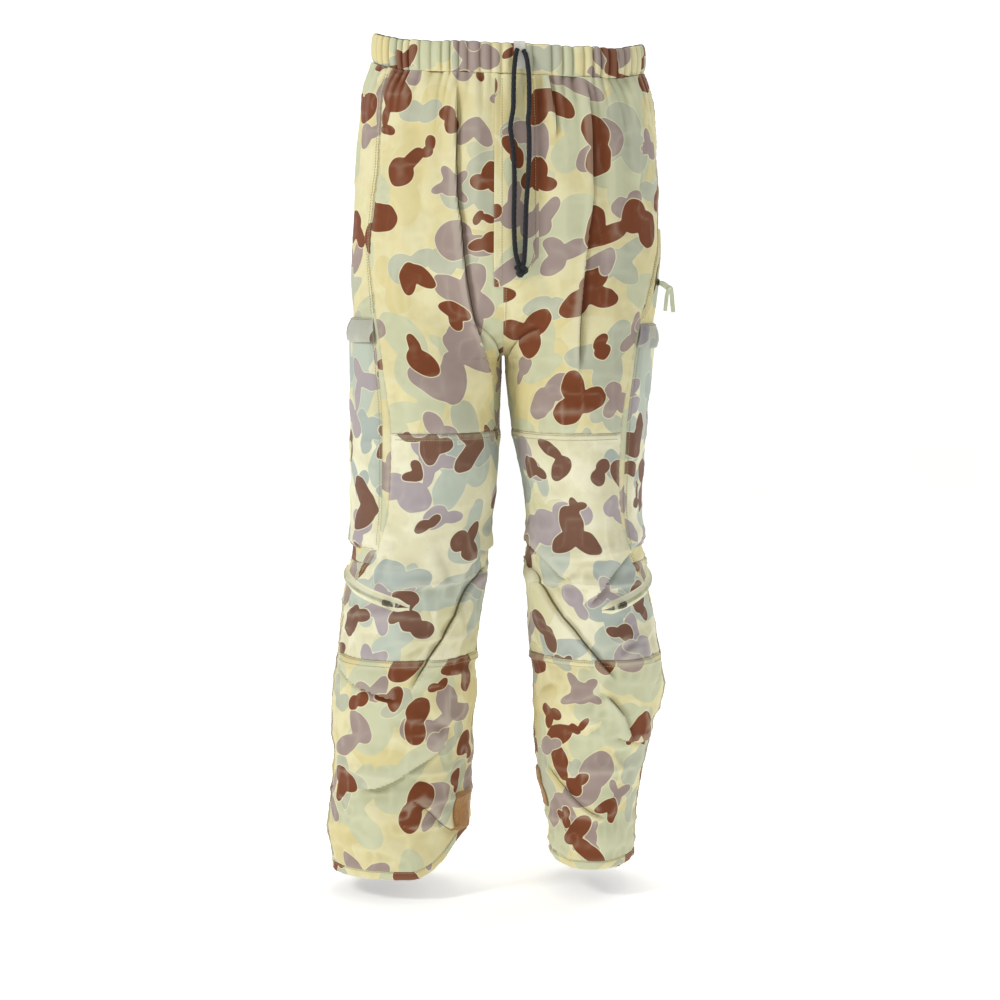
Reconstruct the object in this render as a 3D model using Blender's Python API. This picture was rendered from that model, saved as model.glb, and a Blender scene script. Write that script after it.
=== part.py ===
"""Camouflage over-trousers: elasticated drawcord waist, cargo pockets, knee panels and knee zips.

Frame: metres, +Z up, the front faces -Y, the origin is the centre of the waist opening.
"right" and "left" are the wearer's, so the right leg lies at -X.
"""

import math

import bpy
import bmesh
from mathutils import Vector

# Cloth and layers
CLOTH = 0.0016              # thickness of a cloth panel
TAPE = 0.0012               # thickness of tapes, facings and pocket walls
LAYER_GAP = 0.0012          # clearance under a piece sewn on top of a panel
HALF_GAP = 0.0003           # half the gap left at the centre seam
SEAM_GAP = 0.0003           # gap left along a level seam
SEAM_T = 0.0004             # gap left beside an upright seam, as a share of the way round

# Heights, downwards from the waist
BAND_HEIGHT = 0.036
RISE_TOP = -0.268
CROTCH_Z = -0.390
THIGH_TOP = -0.230         # the section starts to turn from hip to leg here
THIGH_LOW = -0.480
SEAM_REACH = 0.15           # share of the way round that the centre seam's own curve reaches
KNEE_TOP_Z = -0.479
KNEE_LOW_Z = -0.757
SEAT_SEAM_Z = -0.640
HEM_BAND = 0.011
PANEL_COLUMNS = 12
LEG_LEVELS = [-0.42, -0.45, -0.52, -0.56, -0.60, -0.62, -0.66, -0.68, -0.70, -0.73]
WAIST_TILT = -0.040         # how far the waist drops for each metre towards the left side
TILT_END_Z = -0.300
FRONT_DIP = 0.015           # how far the waist hangs lower in front than at the sides
DIP_REACH = 0.100
DIP_END_Z = -0.200

BODY_POWER = 2.3            # how square the hip section is, 2 being an ellipse

SIDES = {"right": -1, "left": 1}

# Stations down each leg: (height, distance) from the centre plane or from the middle of the waist
OUTER = {
    "right": [
        (-0.036, 0.158), (-0.065, 0.169), (-0.11, 0.175), (-0.16, 0.180), (-0.25, 0.187),
        (-0.33, 0.186), (-0.37, 0.185), (-0.56, 0.184), (-0.63, 0.188), (-0.67, 0.196),
        (-0.75, 0.205), (-0.81, 0.215), (-0.92, 0.216), (-0.97, 0.220), (-1.035, 0.217),
    ],
    "left": [
        (-0.036, 0.171), (-0.065, 0.181), (-0.11, 0.187), (-0.16, 0.189), (-0.23, 0.191),
        (-0.27, 0.193), (-0.32, 0.190), (-0.37, 0.183), (-0.43, 0.177), (-0.50, 0.170),
        (-0.57, 0.166), (-0.62, 0.172), (-0.66, 0.180), (-0.71, 0.188), (-0.76, 0.198),
        (-0.81, 0.204), (-0.85, 0.191), (-0.89, 0.180), (-0.97, 0.168), (-1.035, 0.164),
    ],
}
INNER = {
    "right": [
        (-0.39, 0.0), (-0.43, 0.003), (-0.51, 0.005), (-0.57, 0.010), (-0.61, 0.017),
        (-0.69, 0.025), (-0.77, 0.034), (-0.85, 0.037), (-0.92, 0.039), (-1.035, 0.049),
    ],
    "left": [
        (-0.39, 0.0), (-0.43, 0.0045), (-0.47, 0.009), (-0.51, 0.016), (-0.55, 0.024),
        (-0.60, 0.028), (-0.72, 0.030), (-0.80, 0.039), (-0.87, 0.041), (-1.035, 0.062),
    ],
}
FRONT = {
    "right": [
        (-0.036, 0.108), (-0.07, 0.114), (-0.15, 0.121), (-0.23, 0.125), (-0.31, 0.127),
        (-0.39, 0.126), (-0.47, 0.122), (-0.63, 0.110), (-0.79, 0.096), (-0.95, 0.082), (-1.035, 0.078),
    ],
    "left": [
        (-0.036, 0.108), (-0.07, 0.114), (-0.15, 0.121), (-0.23, 0.125), (-0.31, 0.127),
        (-0.39, 0.126), (-0.47, 0.122), (-0.63, 0.109), (-0.79, 0.090), (-0.95, 0.069), (-1.035, 0.062),
    ],
}
BACK = {
    "right": [
        (-0.036, 0.108), (-0.07, 0.116), (-0.15, 0.134), (-0.23, 0.143), (-0.31, 0.141),
        (-0.39, 0.128), (-0.47, 0.112), (-0.55, 0.100), (-0.63, 0.093), (-0.71, 0.095),
        (-0.79, 0.102), (-0.87, 0.106), (-0.95, 0.102), (-1.035, 0.094),
    ],
    "left": [
        (-0.036, 0.108), (-0.07, 0.116), (-0.15, 0.134), (-0.23, 0.143), (-0.31, 0.141),
        (-0.39, 0.128), (-0.47, 0.113), (-0.55, 0.103), (-0.63, 0.098), (-0.71, 0.103),
        (-0.79, 0.114), (-0.87, 0.124), (-0.95, 0.127), (-1.035, 0.124),
    ],
}
# Where the outer side seam runs, as a share of the way round from the centre front
OUTSEAM = {
    "right": [(-0.036, 0.30), (-0.20, 0.30), (-0.33, 0.335), (-0.60, 0.34), (-0.70, 0.46)],
    "left": [(-0.036, 0.47), (-0.20, 0.47), (-0.29, 0.385), (-0.36, 0.37), (-0.60, 0.37), (-0.70, 0.46)],
}
HEM_Z = {"right": -1.034, "left": -1.024}
HEM_LIFT = {"right": 0.060, "left": 0.0}   # how far the inner side of the hem rides up
HEM_LIFT_REACH = 0.22

# Cargo pockets: shares of the way round, mouth and bottom heights
POCKET_SPAN = {"right": (0.348, 0.560), "left": (0.378, 0.590)}
POCKET_MOUTH = {"right": -0.357, "left": -0.364}
POCKET_BOTTOM = -0.622
POCKET_DEPTH = 0.011
POCKET_SLOPE = 0.004
FLAP_HEIGHT = 0.0285
FLAP_CLEARANCE = 0.0030     # room under the flap for its hook tape and the pocket's loop tape
PATCH_LENGTH = 0.060
ROUND_LEG = 0.60            # rough way round a leg, which turns lengths into shares of a turn

# Knee zips: front end and rear end as (share of the way round, height)
KNEE_ZIP = {"right": ((0.290, -0.686), (0.520, -0.655)), "left": ((0.312, -0.690), (0.535, -0.658))}
ZIP_WIDTH = 0.008
ZIP_OUT = 0.0026
ZIP_THICK = 0.0014

# Drawcord
CORD_RADIUS = 0.0027
EXIT_PLACE = (0.0190, -0.1100, -0.0260)
EXIT_RADIUS = 0.0035
EXIT_DEPTH = 0.0080
STRAND_A = [
    (0.0165, -0.1133, -0.0230), (0.0148, -0.1152, -0.0290), (0.0136, -0.1163, -0.0380),
    (0.0124, -0.1180, -0.0540), (0.0120, -0.1195, -0.0760), (0.0115, -0.1225, -0.0940),
    (0.0084, -0.1245, -0.1140), (0.0096, -0.1252, -0.1270), (0.0120, -0.1262, -0.1470),
    (0.0130, -0.1282, -0.1690), (0.0130, -0.1298, -0.1920), (0.0126, -0.1308, -0.2120),
    (0.0126, -0.1316, -0.2320), (0.0134, -0.1324, -0.2520), (0.0150, -0.1334, -0.2660),
    (0.0178, -0.1342, -0.2752),
]
STRAND_B = [
    (0.0236, -0.1133, -0.0245), (0.0262, -0.1152, -0.0300), (0.0284, -0.1163, -0.0390),
    (0.0302, -0.1180, -0.0560), (0.0306, -0.1198, -0.0760), (0.0304, -0.1228, -0.0940),
    (0.0292, -0.1245, -0.1070), (0.0303, -0.1250, -0.1200), (0.0306, -0.1262, -0.1420),
    (0.0298, -0.1280, -0.1640), (0.0284, -0.1296, -0.1870), (0.0270, -0.1308, -0.2090),
    (0.0264, -0.1318, -0.2300), (0.0260, -0.1326, -0.2480), (0.0251, -0.1334, -0.2640),
    (0.0240, -0.1342, -0.2752),
]
KNOT_CENTRE = (0.0212, -0.1350, -0.2852)
KNOT_SIZE = (0.0156, 0.0118, 0.0148)

# Side opening on the left hip
SIDE_ZIP_TOP = (0.462, -0.232)
SIDE_ZIP_LOW = (0.376, -0.342)
SIDE_SLIDER_SHARE = 0.60    # where the slider rests along the opening
SIDE_ZIP_OUT = 0.0030
SLIDER_THICK = 0.0030
SLIDER_OUTLINE = [(0.0055, 0.0036), (-0.0015, 0.0036), (-0.0055, 0.0022)]   # height along it, half width


def smooth(table, z):
    """The value at height z on a smooth curve through the stations, which run downwards."""
    if z >= table[0][0]:
        return table[0][1]
    if z <= table[-1][0]:
        return table[-1][1]
    i = 0
    while table[i + 1][0] > z:
        i += 1
    (z0, v0), (z1, v1) = table[i], table[i + 1]
    before = table[i - 1] if i > 0 else table[i]
    after = table[i + 2] if i + 2 < len(table) else table[i + 1]
    slope0 = (v1 - before[1]) / (z1 - before[0])
    slope1 = (after[1] - v0) / (after[0] - z0)
    span = z1 - z0
    s = (z - z0) / span
    return (
        v0 * (1 + 2 * s) * (1 - s) ** 2
        + slope0 * span * s * (1 - s) ** 2
        + v1 * s * s * (3 - 2 * s)
        + slope1 * span * s * s * (s - 1)
    )


def power(value, exponent):
    return math.copysign(abs(value) ** exponent, value)


def front_dip(y):
    """How far the waist hangs down at a distance y behind its centre."""
    return FRONT_DIP * ease(-y / DIP_REACH)


def settled(x, y, z):
    """A height lowered towards the left side and towards the front, near the waist."""
    tilt = WAIST_TILT * x * ease((z - TILT_END_Z) / (-BAND_HEIGHT - TILT_END_Z))
    return z + tilt - front_dip(y) * ease((z - DIP_END_Z) / (-BAND_HEIGHT - DIP_END_Z))


def ease(value):
    """A smooth step from 0 to 1."""
    value = min(1.0, max(0.0, value))
    return value * value * (3 - 2 * value)


def share_of_leg(t, z):
    """How far a section has turned from half a hip into a whole leg: first at the centre seam, then all round."""
    fall = min(1.0, max(0.0, (RISE_TOP - z) / (RISE_TOP - CROTCH_Z)))
    seam_share = 1 - math.sqrt(max(0.0, 1 - fall * fall))
    rest_share = ease((THIGH_TOP - z) / (THIGH_TOP - THIGH_LOW))
    by_seam = 1 - ease(min(t % 1.0, 1 - t % 1.0) / SEAM_REACH)
    return by_seam * seam_share + (1 - by_seam) * rest_share


def cloth_point(side, t, z):
    """Outer face of the cloth: t goes from the centre front, or the inseam, round the outside and back."""
    outer = smooth(OUTER[side], z)
    front = -smooth(FRONT[side], z)
    back = smooth(BACK[side], z)
    inner = smooth(INNER[side], z)
    leg_turn = 2 * math.pi * t
    leg_x = (outer + inner) / 2 - (outer - inner) / 2 * math.cos(leg_turn)
    leg_y = (back + front) / 2 - (back - front) / 2 * math.sin(leg_turn)
    leg_share = share_of_leg(t, z)
    hip_turn = math.pi * min(1.0, max(0.0, t))
    hip_x = outer * power(math.sin(hip_turn), 2 / BODY_POWER)
    along = power(math.cos(hip_turn), 2 / BODY_POWER)
    hip_y = along * front if along > 0 else -along * back
    x = SIDES[side] * (leg_share * leg_x + (1 - leg_share) * hip_x)
    y = leg_share * leg_y + (1 - leg_share) * hip_y
    return Vector((x, y, settled(x, y, z)))


def cloth_normal(side, t, z):
    """Outward direction of the cloth, from its slopes round and down the leg."""
    step_t, step_z = 0.004, 0.0015
    around = cloth_point(side, t + step_t, z) - cloth_point(side, t - step_t, z)
    if z > CROTCH_Z and (t < step_t or t > 1 - step_t):
        around = Vector((SIDES[side] * (1 if t < 0.5 else -1), 0, 0))
    down = cloth_point(side, t, z - step_z) - cloth_point(side, t, z + step_z)
    return (down.cross(around) * SIDES[side]).normalized()


def on_cloth(side, t, z, out=0.0):
    """A point at a distance out from the cloth, kept to its own side of the centre seam."""
    p = cloth_point(side, t, z) + cloth_normal(side, t, z) * out
    p.x = SIDES[side] * max(SIDES[side] * p.x, HALF_GAP)
    return p


def across(side, t, z, out=0.0):
    """The same, for a piece that crosses the centre front."""
    p = cloth_point(side, t, z)
    if t <= 0:
        return p + Vector((0, -out, 0))
    return p + cloth_normal(side, t, z) * out


def value_at(value, *where):
    return value(*where) if callable(value) else value


def material(name, colour, roughness=0.85, metallic=0.0):
    """A Principled material with one colour."""
    found = bpy.data.materials.get(name)
    if found:
        return found
    made = bpy.data.materials.new(name)
    made.use_nodes = True
    shader = made.node_tree.nodes["Principled BSDF"]
    shader.inputs["Base Color"].default_value = (*colour, 1)
    shader.inputs["Roughness"].default_value = roughness
    shader.inputs["Metallic"].default_value = metallic
    made.diffuse_color = (*colour, 1)
    return made


def add_object(name, bm, finish, origin=None):
    """Turns a bmesh into a named object whose origin lies on its joint, if it has one."""
    bmesh.ops.recalc_face_normals(bm, faces=bm.faces)
    if bm.calc_volume(signed=True) < 0:
        bmesh.ops.reverse_faces(bm, faces=bm.faces)
    if origin is not None:
        bmesh.ops.translate(bm, verts=bm.verts, vec=-Vector(origin))
    mesh = bpy.data.meshes.new(name)
    bm.to_mesh(mesh)
    bm.free()
    mesh.shade_smooth()
    mesh.set_sharp_from_angle(angle=math.radians(50))
    mesh.materials.append(finish)
    made = bpy.data.objects.new(name, mesh)
    if origin is not None:
        made.location = origin
    bpy.context.collection.objects.link(made)
    return made


def shell(name, outer, inner, finish, ring=False, origin=None):
    """A closed thin solid between two equal grids of points; ring joins its last column to its first."""
    bm = bmesh.new()
    skins = [[[bm.verts.new(p) for p in row] for row in grid] for grid in (outer, inner)]
    rows = len(outer)
    columns = len(outer[0])
    last = columns if ring else columns - 1
    for skin in skins:
        for r in range(rows - 1):
            for c in range(last):
                d = (c + 1) % columns
                bm.faces.new((skin[r][c], skin[r][d], skin[r + 1][d], skin[r + 1][c]))
    for r in (0, rows - 1):
        for c in range(last):
            d = (c + 1) % columns
            bm.faces.new((skins[0][r][c], skins[0][r][d], skins[1][r][d], skins[1][r][c]))
    if not ring:
        for c in (0, columns - 1):
            for r in range(rows - 1):
                bm.faces.new((skins[0][r][c], skins[0][r + 1][c], skins[1][r + 1][c], skins[1][r][c]))
    return add_object(name, bm, finish, origin)


def spread(start, end, count):
    """Evenly spaced numbers from start to end."""
    return [start + (end - start) * i / (count - 1) for i in range(count)]


def panel(name, side, t_start, t_end, heights, finish, out=0.0, thick=CLOTH, columns=PANEL_COLUMNS, origin=None):
    """A cloth panel between two upright edges; heights are numbers or functions of t."""
    outer, inner = [], []
    for height in heights:
        middle = value_at(height, 0.5)
        turns = spread(value_at(t_start, middle), value_at(t_end, middle), columns)
        levels = [value_at(height, t) for t in turns]
        far = value_at(out, middle)
        outer.append([on_cloth(side, t, z, far) for t, z in zip(turns, levels)])
        inner.append([on_cloth(side, t, z, far - thick) for t, z in zip(turns, levels)])
    return shell(name, outer, inner, finish, origin=origin)


def rise_heights():
    """Levels through the crotch curve, closer together where it turns under."""
    drop = RISE_TOP - CROTCH_Z
    return [RISE_TOP - drop * math.sin(math.radians(a)) for a in (0, 20, 38, 54, 70, 82, 90)]


def hem_level(side, t):
    """The hem's height round the leg."""
    away = min(t % 1.0, 1 - t % 1.0)
    if away > HEM_LIFT_REACH:
        return HEM_Z[side]
    return HEM_Z[side] + HEM_LIFT[side] * (1 + math.cos(math.pi * away / HEM_LIFT_REACH)) / 2


def levels_between(top, low):
    """Levels shared by neighbouring panels from one seam to the next, with half a gap kept at both."""
    between = [z for z in LEG_LEVELS + [KNEE_TOP_Z, SEAT_SEAM_Z] if low < z < top]
    return [top - SEAM_GAP / 2] + sorted(between, reverse=True) + [low + SEAM_GAP / 2]


def leg_panels(side):
    """The five cloth panels of one leg and its turned hem."""
    print_cloth = material("camouflage_cloth", (0.79, 0.71, 0.38))
    pale_cloth = material("pale_camouflage_cloth", (0.76, 0.73, 0.50))

    def seam(z):
        return smooth(OUTSEAM[side], z)

    upper = [-BAND_HEIGHT - SEAM_GAP, -0.065, -0.11, -0.16, -0.20, -0.235] + rise_heights()
    front_levels = upper + levels_between(CROTCH_Z, KNEE_TOP_Z)[1:]
    panel(f"front_upper_{side}", side, SEAM_T, lambda z: seam(z) - SEAM_T, front_levels, print_cloth)
    knee_levels = levels_between(KNEE_TOP_Z, KNEE_LOW_Z)
    panel(f"knee_panel_{side}", side, SEAM_T, lambda z: seam(z) - SEAM_T, knee_levels, pale_cloth)
    back_levels = upper + levels_between(CROTCH_Z, SEAT_SEAM_Z)[1:]
    panel(f"back_upper_{side}", side, lambda z: seam(z) + SEAM_T, 1 - SEAM_T, back_levels, print_cloth)

    def level(share):
        return lambda t: KNEE_LOW_Z + (hem_level(side, t) + HEM_BAND + SEAM_GAP - KNEE_LOW_Z) * share

    to_hem = [level(share) for share in spread(0.0, 1.0, 7)]
    shin_levels = [KNEE_LOW_Z - SEAM_GAP / 2] + to_hem[1:]
    panel(f"shin_panel_{side}", side, SEAM_T, lambda z: seam(z) - SEAM_T, shin_levels, print_cloth)
    calf_levels = levels_between(SEAT_SEAM_Z, KNEE_LOW_Z) + to_hem[1:]
    panel(f"back_lower_{side}", side, lambda z: seam(z) + SEAM_T, 1 - SEAM_T, calf_levels, print_cloth)

    side_t = seam(HEM_Z[side])
    turns = spread(SEAM_T, side_t - SEAM_T, PANEL_COLUMNS) + spread(side_t + SEAM_T, 1 - SEAM_T, PANEL_COLUMNS)
    grids = []
    for out in (0.0004, -0.0024):
        rows = [[on_cloth(side, t, hem_level(side, t) + up, out) for t in turns] for up in (HEM_BAND, 0.0)]
        grids.append(rows)
    shell(f"hem_{side}", grids[0], grids[1], print_cloth, ring=True)


def band_columns(t_start, t_end, count):
    """Columns round the waist through the centre front or back, from the right side to the left."""
    turns = spread(t_start, t_end, count)
    return [("right", t) for t in turns] + [("left", t) for t in reversed(turns[:-1])]


def band_point(side, t, z, out):
    """A point of the waistband: outwards from the waist line, then at its own height."""
    p = cloth_point(side, t, -BAND_HEIGHT)
    around = cloth_normal(side, t, -BAND_HEIGHT) if 0 < t < 1 else Vector((0, -1 if t <= 0 else 1, 0))
    around.z = 0
    around.normalize()
    x = p.x + around.x * out
    y = p.y + around.y * out
    return Vector((x, y, z + WAIST_TILT * p.x - front_dip(p.y)))


def band_shell(name, columns, outer_profile, inner_profile, finish, ring=False):
    """A strip swept round the waist; the profiles are (height, distance out) pairs."""
    grids = [[[band_point(s, t, z, o) for s, t in columns] for z, o in p] for p in (outer_profile, inner_profile)]
    return shell(name, grids[0], grids[1], finish, ring)


CASING_OUT = [
    (-0.036, -0.0002), (-0.018, 0.0012), (-0.004, 0.0004), (0.0, -0.0024),
    (0.0, -0.0062), (-0.004, -0.0088), (-0.018, -0.0092), (-0.036, -0.0088),
]
CASING_IN = [
    (-0.036, -0.0015), (-0.018, -0.0001), (-0.0046, -0.0009), (-0.0014, -0.0030),
    (-0.0014, -0.0056), (-0.0046, -0.0075), (-0.018, -0.0079), (-0.036, -0.0075),
]
KEEPER_OUT = [
    (-0.030, 0.0024), (-0.018, 0.0031), (-0.003, 0.0026), (0.0026, -0.0010),
    (0.0026, -0.0076), (-0.003, -0.0110), (-0.030, -0.0116),
]
KEEPER_IN = [
    (-0.030, 0.0014), (-0.018, 0.0019), (-0.0034, 0.0014), (0.0012, -0.0018),
    (0.0012, -0.0068), (-0.0034, -0.0098), (-0.030, -0.0104),
]
SIDE_T = 0.40               # where the front and back waistbands meet


def waistband():
    """Folded casing in two pieces, with the elastic and the drawcord's hidden run inside it."""
    cloth = material("camouflage_cloth", (0.79, 0.71, 0.38))
    band_shell("waistband_front", band_columns(SIDE_T - SEAM_T, 0.0, 13), CASING_OUT, CASING_IN, cloth)
    band_shell("waistband_back", band_columns(SIDE_T + SEAM_T, 1.0, 15), CASING_OUT, CASING_IN, cloth)
    turns = spread(0.0, 1.0, 25)
    loop = [("right", t) for t in turns] + [("left", t) for t in reversed(turns[1:-1])]
    elastic_out = [(-0.034, -0.0034), (-0.011, -0.0034)]
    elastic_in = [(-0.034, -0.0052), (-0.011, -0.0052)]
    elastic = material("waist_elastic", (0.86, 0.85, 0.80))
    band_shell("waist_elastic", loop, elastic_out, elastic_in, elastic, ring=True)
    tape = material("keeper_tape", (0.80, 0.79, 0.72))
    keeper = [("left", t) for t in (0.0155, 0.0255, 0.0365)]
    band_shell("drawcord_keeper", keeper, KEEPER_OUT, KEEPER_IN, tape)
    cord_exit()


def cord_exit():
    """The eyelet through the casing's outer leaf and the keeper, where the drawcord comes out."""
    bpy.ops.mesh.primitive_cylinder_add(
        vertices=12, radius=EXIT_RADIUS, depth=EXIT_DEPTH, location=EXIT_PLACE, rotation=(math.pi / 2, 0, 0)
    )
    cutter = bpy.context.object
    cutter.name = "exit_cutter"
    cutter.hide_render = True
    cutter.display_type = "WIRE"
    for name in ("waistband_front", "drawcord_keeper"):
        cut = bpy.data.objects[name].modifiers.new("cord_exit", "BOOLEAN")
        cut.object = cutter
        cut.operation = "DIFFERENCE"


def tube(name, points, radius, finish, bevel=2):
    """A round cord through the points, with closed ends."""
    curve = bpy.data.curves.new(name, "CURVE")
    curve.dimensions = "3D"
    curve.bevel_depth = radius
    curve.bevel_resolution = bevel
    curve.use_fill_caps = True
    spline = curve.splines.new("POLY")
    spline.points.add(len(points) - 1)
    for place, p in zip(spline.points, points):
        place.co = (*p, 1)
    curve.materials.append(finish)
    made = bpy.data.objects.new(name, curve)
    bpy.context.collection.objects.link(made)
    return made


def through(route, per_span):
    """Points on one smooth curve through a route's own points."""
    ends = [2 * Vector(route[0]) - Vector(route[1])] + [Vector(p) for p in route]
    ends.append(2 * Vector(route[-1]) - Vector(route[-2]))
    points = []
    for a, b, c, d in zip(ends, ends[1:], ends[2:], ends[3:]):
        for i in range(per_span):
            s = i / per_span
            points.append(
                0.5 * (2 * b + (c - a) * s + (2 * a - 5 * b + 4 * c - d) * s * s + (3 * b - a - 3 * c + d) * s ** 3)
            )
    points.append(Vector(route[-1]))
    return points


def drawcord():
    """The run hidden in the casing, the two strands that hang from the keeper, and their knot."""
    cord = material("drawcord", (0.015, 0.016, 0.018), 0.6)
    turns = spread(0.0, 1.0, 30)
    around = [("left", t) for t in turns if t > 0.05] + [("right", t) for t in reversed(turns[:-1])]
    run = [band_point(s, t, -0.0068, -0.0044) for s, t in around]
    run.insert(0, band_point("left", 0.0400, -0.0068, -0.0044))
    run.append(band_point("left", 0.0110, -0.0068, -0.0044))
    tube("drawcord_hidden_run", run, 0.0025, cord)
    tube("drawcord_strand_right", through(STRAND_A, 2), CORD_RADIUS, cord)
    tube("drawcord_strand_left", through(STRAND_B, 2), CORD_RADIUS, cord)
    bm = bmesh.new()
    bmesh.ops.create_icosphere(bm, subdivisions=2, radius=0.5)
    bmesh.ops.scale(bm, verts=bm.verts, vec=KNOT_SIZE)
    bmesh.ops.translate(bm, verts=bm.verts, vec=KNOT_CENTRE)
    add_object("drawcord_knot", bm, cord)


def fly():
    """The overlapping fly placket in front and its facing behind."""
    cloth = material("camouflage_cloth", (0.79, 0.71, 0.38))
    heights = [-0.0375, -0.08, -0.12, -0.16, -0.20, -0.24, -0.268, -0.29, -0.302]

    def strip(name, levels, right_ts, left_ts, out, thick):
        columns = [("right", t) for t in right_ts] + [("left", t) for t in left_ts]
        grids = [[[across(s, t, z, o) for s, t in columns] for z in levels] for o in (out, out - thick)]
        return shell(name, grids[0], grids[1], cloth)

    strip("fly_placket", heights, (0.0125, 0.006), (0.0, 0.012, 0.026, 0.041, 0.056), LAYER_GAP + TAPE, TAPE)
    inside = [-0.040, -0.08, -0.12, -0.16, -0.20, -0.24, -0.262]
    behind = -CLOTH - 0.0010
    strip("fly_facing", inside, (0.018, 0.008), (0.0, 0.012, 0.026, 0.041, 0.052), behind, TAPE)


def cargo_pocket(side):
    """A pouch open at its mouth, sewn on the side of the thigh."""
    cloth = material("pale_camouflage_cloth", (0.76, 0.73, 0.50))
    t_front, t_back = POCKET_SPAN[side]
    mouth, bottom = POCKET_MOUTH[side], POCKET_BOTTOM
    per_metre = 1 / ROUND_LEG
    slope_t = POCKET_SLOPE * per_metre

    def skin(inset, far, near):
        inset_t = inset * per_metre
        turns = [t_front + inset_t] + spread(t_front + inset_t + slope_t, t_back - inset_t - slope_t, 11)
        turns.append(t_back - inset_t)
        levels = spread(mouth, bottom + inset + POCKET_SLOPE, 8) + [bottom + inset]
        grid = []
        for r, z in enumerate(levels):
            row = []
            for c, t in enumerate(turns):
                edge = c in (0, len(turns) - 1) or r == len(levels) - 1
                row.append(on_cloth(side, t, z, near if edge else far))
            grid.append(row)
        return grid

    outer = skin(0.0, POCKET_DEPTH, 0.0010)
    inner = skin(TAPE, POCKET_DEPTH - TAPE, 0.0010)
    shell(f"cargo_pocket_{side}", outer, inner, cloth)


def flap_frame(side):
    """Middle of the flap's sewn edge, its outward direction and the level axis that it lifts about."""
    t_front, t_back = POCKET_SPAN[side]
    middle = (t_front + t_back) / 2
    top = POCKET_MOUTH[side] + 0.0155
    centre = on_cloth(side, middle, top, 0.0024)
    outward = cloth_normal(side, middle, top)
    outward.z = 0
    outward.normalize()
    return centre, outward, top


def pocket_flap(side):
    """The flap, whose origin is on the line that it lifts about, and its two hook patches."""
    cloth = material("flap_cloth", (0.48, 0.47, 0.45))
    hooks = material("hook_tape", (0.60, 0.42, 0.24))
    t_front, t_back = POCKET_SPAN[side]
    centre, outward, top = flap_frame(side)
    low = top - FLAP_HEIGHT
    rest_out = POCKET_DEPTH + FLAP_CLEARANCE
    knee = POCKET_MOUTH[side] + 0.0060
    turns = spread(t_front - 0.006, t_back + 0.006, 13)
    profile = [(top, 0.0012), ((top + knee) / 2, 0.0060), (knee, rest_out), (knee - 0.008, rest_out), (low, rest_out)]
    grids = []
    for extra in (TAPE, 0.0):
        grids.append([[on_cloth(side, t, z, out + extra) for t in turns] for z, out in profile])
    shell(f"pocket_flap_{side}", grids[0], grids[1], cloth, origin=centre)
    middle = (t_front + t_back) / 2
    reach = PATCH_LENGTH / 2 / ROUND_LEG
    levels = [POCKET_MOUTH[side] - 0.0025, low + 0.0015]
    hook_out = rest_out - 0.0003
    loop_out = POCKET_DEPTH + 0.0012
    panel(
        f"flap_hook_tape_{side}", side, middle - reach, middle + reach, levels, hooks,
        out=hook_out, thick=0.0008, columns=7, origin=centre,
    )
    panel(
        f"pocket_loop_tape_{side}", side, middle - reach, middle + reach, levels, hooks,
        out=loop_out, thick=0.0008, columns=7,
    )


def patches(side):
    """Ankle loop patch on the inner side of the leg."""
    loop = material("loop_tape", (0.43, 0.24, 0.09), 0.95)
    t_start, t_end = {"right": (0.046, 0.110), "left": (0.004, 0.062)}[side]
    top = {"right": -0.930, "left": -0.908}[side]
    levels = spread(top, top - 0.048, 4)
    out = LAYER_GAP + 0.0016
    panel(f"ankle_loop_patch_{side}", side, t_start, t_end, levels, loop, out=out, thick=0.0016, columns=5)


def zip_arc(side):
    """The knee zip's circle: its centre, axis, radius, start direction and angle."""
    (t_front, z_front), (t_back, z_back) = KNEE_ZIP[side]
    ends = [(t_front, z_front), ((t_front + t_back) / 2, (z_front + z_back) / 2), (t_back, z_back)]
    a, b, c = (on_cloth(side, t, z, ZIP_OUT) for t, z in ends)
    u, v = b - a, c - a
    normal = u.cross(v)
    to_centre = (normal.cross(u) * v.length_squared + v.cross(normal) * u.length_squared) / (2 * normal.length_squared)
    centre = a + to_centre
    axis = normal.normalized()
    start = a - centre
    end = c - centre
    angle = math.acos(start.dot(end) / (start.length * end.length))
    return centre, axis, start, angle


def arc_point(arc, turn, out, up):
    """A point on a zip: a turn from its front end, out from its circle, and up along its axis."""
    centre, axis, start, angle = arc
    across_start = axis.cross(start.normalized())
    direction = start.normalized() * math.cos(turn) + across_start * math.sin(turn)
    return centre + direction * (start.length + out) + axis * up


def arc_box(name, arc, turns, outs, half_width, finish, origin=None):
    """A closed strip along a zip's circle."""
    grids = []
    for out in outs:
        grids.append([[arc_point(arc, a, out, up) for a in turns] for up in (-half_width, half_width)])
    return shell(name, grids[0], grids[1], finish, origin=origin)


def knee_zip(side):
    """Zip strip and slider; the slider turns about the zip's own centre."""
    tape = material("zip_tape", (0.72, 0.74, 0.56), 0.6)
    metal = material("zip_slider", (0.08, 0.08, 0.08), 0.35, 0.8)
    arc = zip_arc(side)
    angle = arc[3]
    arc_box(f"knee_zip_{side}", arc, spread(0.0, angle, 15), (ZIP_THICK, 0.0), ZIP_WIDTH / 2, tape)
    low = ZIP_THICK + 0.0006
    slider_turns = spread(0.02, 0.02 + 0.011 / arc[2].length, 3)
    arc_box(f"knee_zip_slider_{side}", arc, slider_turns, (low + 0.0028, low), 0.0036, metal, origin=arc[0])


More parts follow.
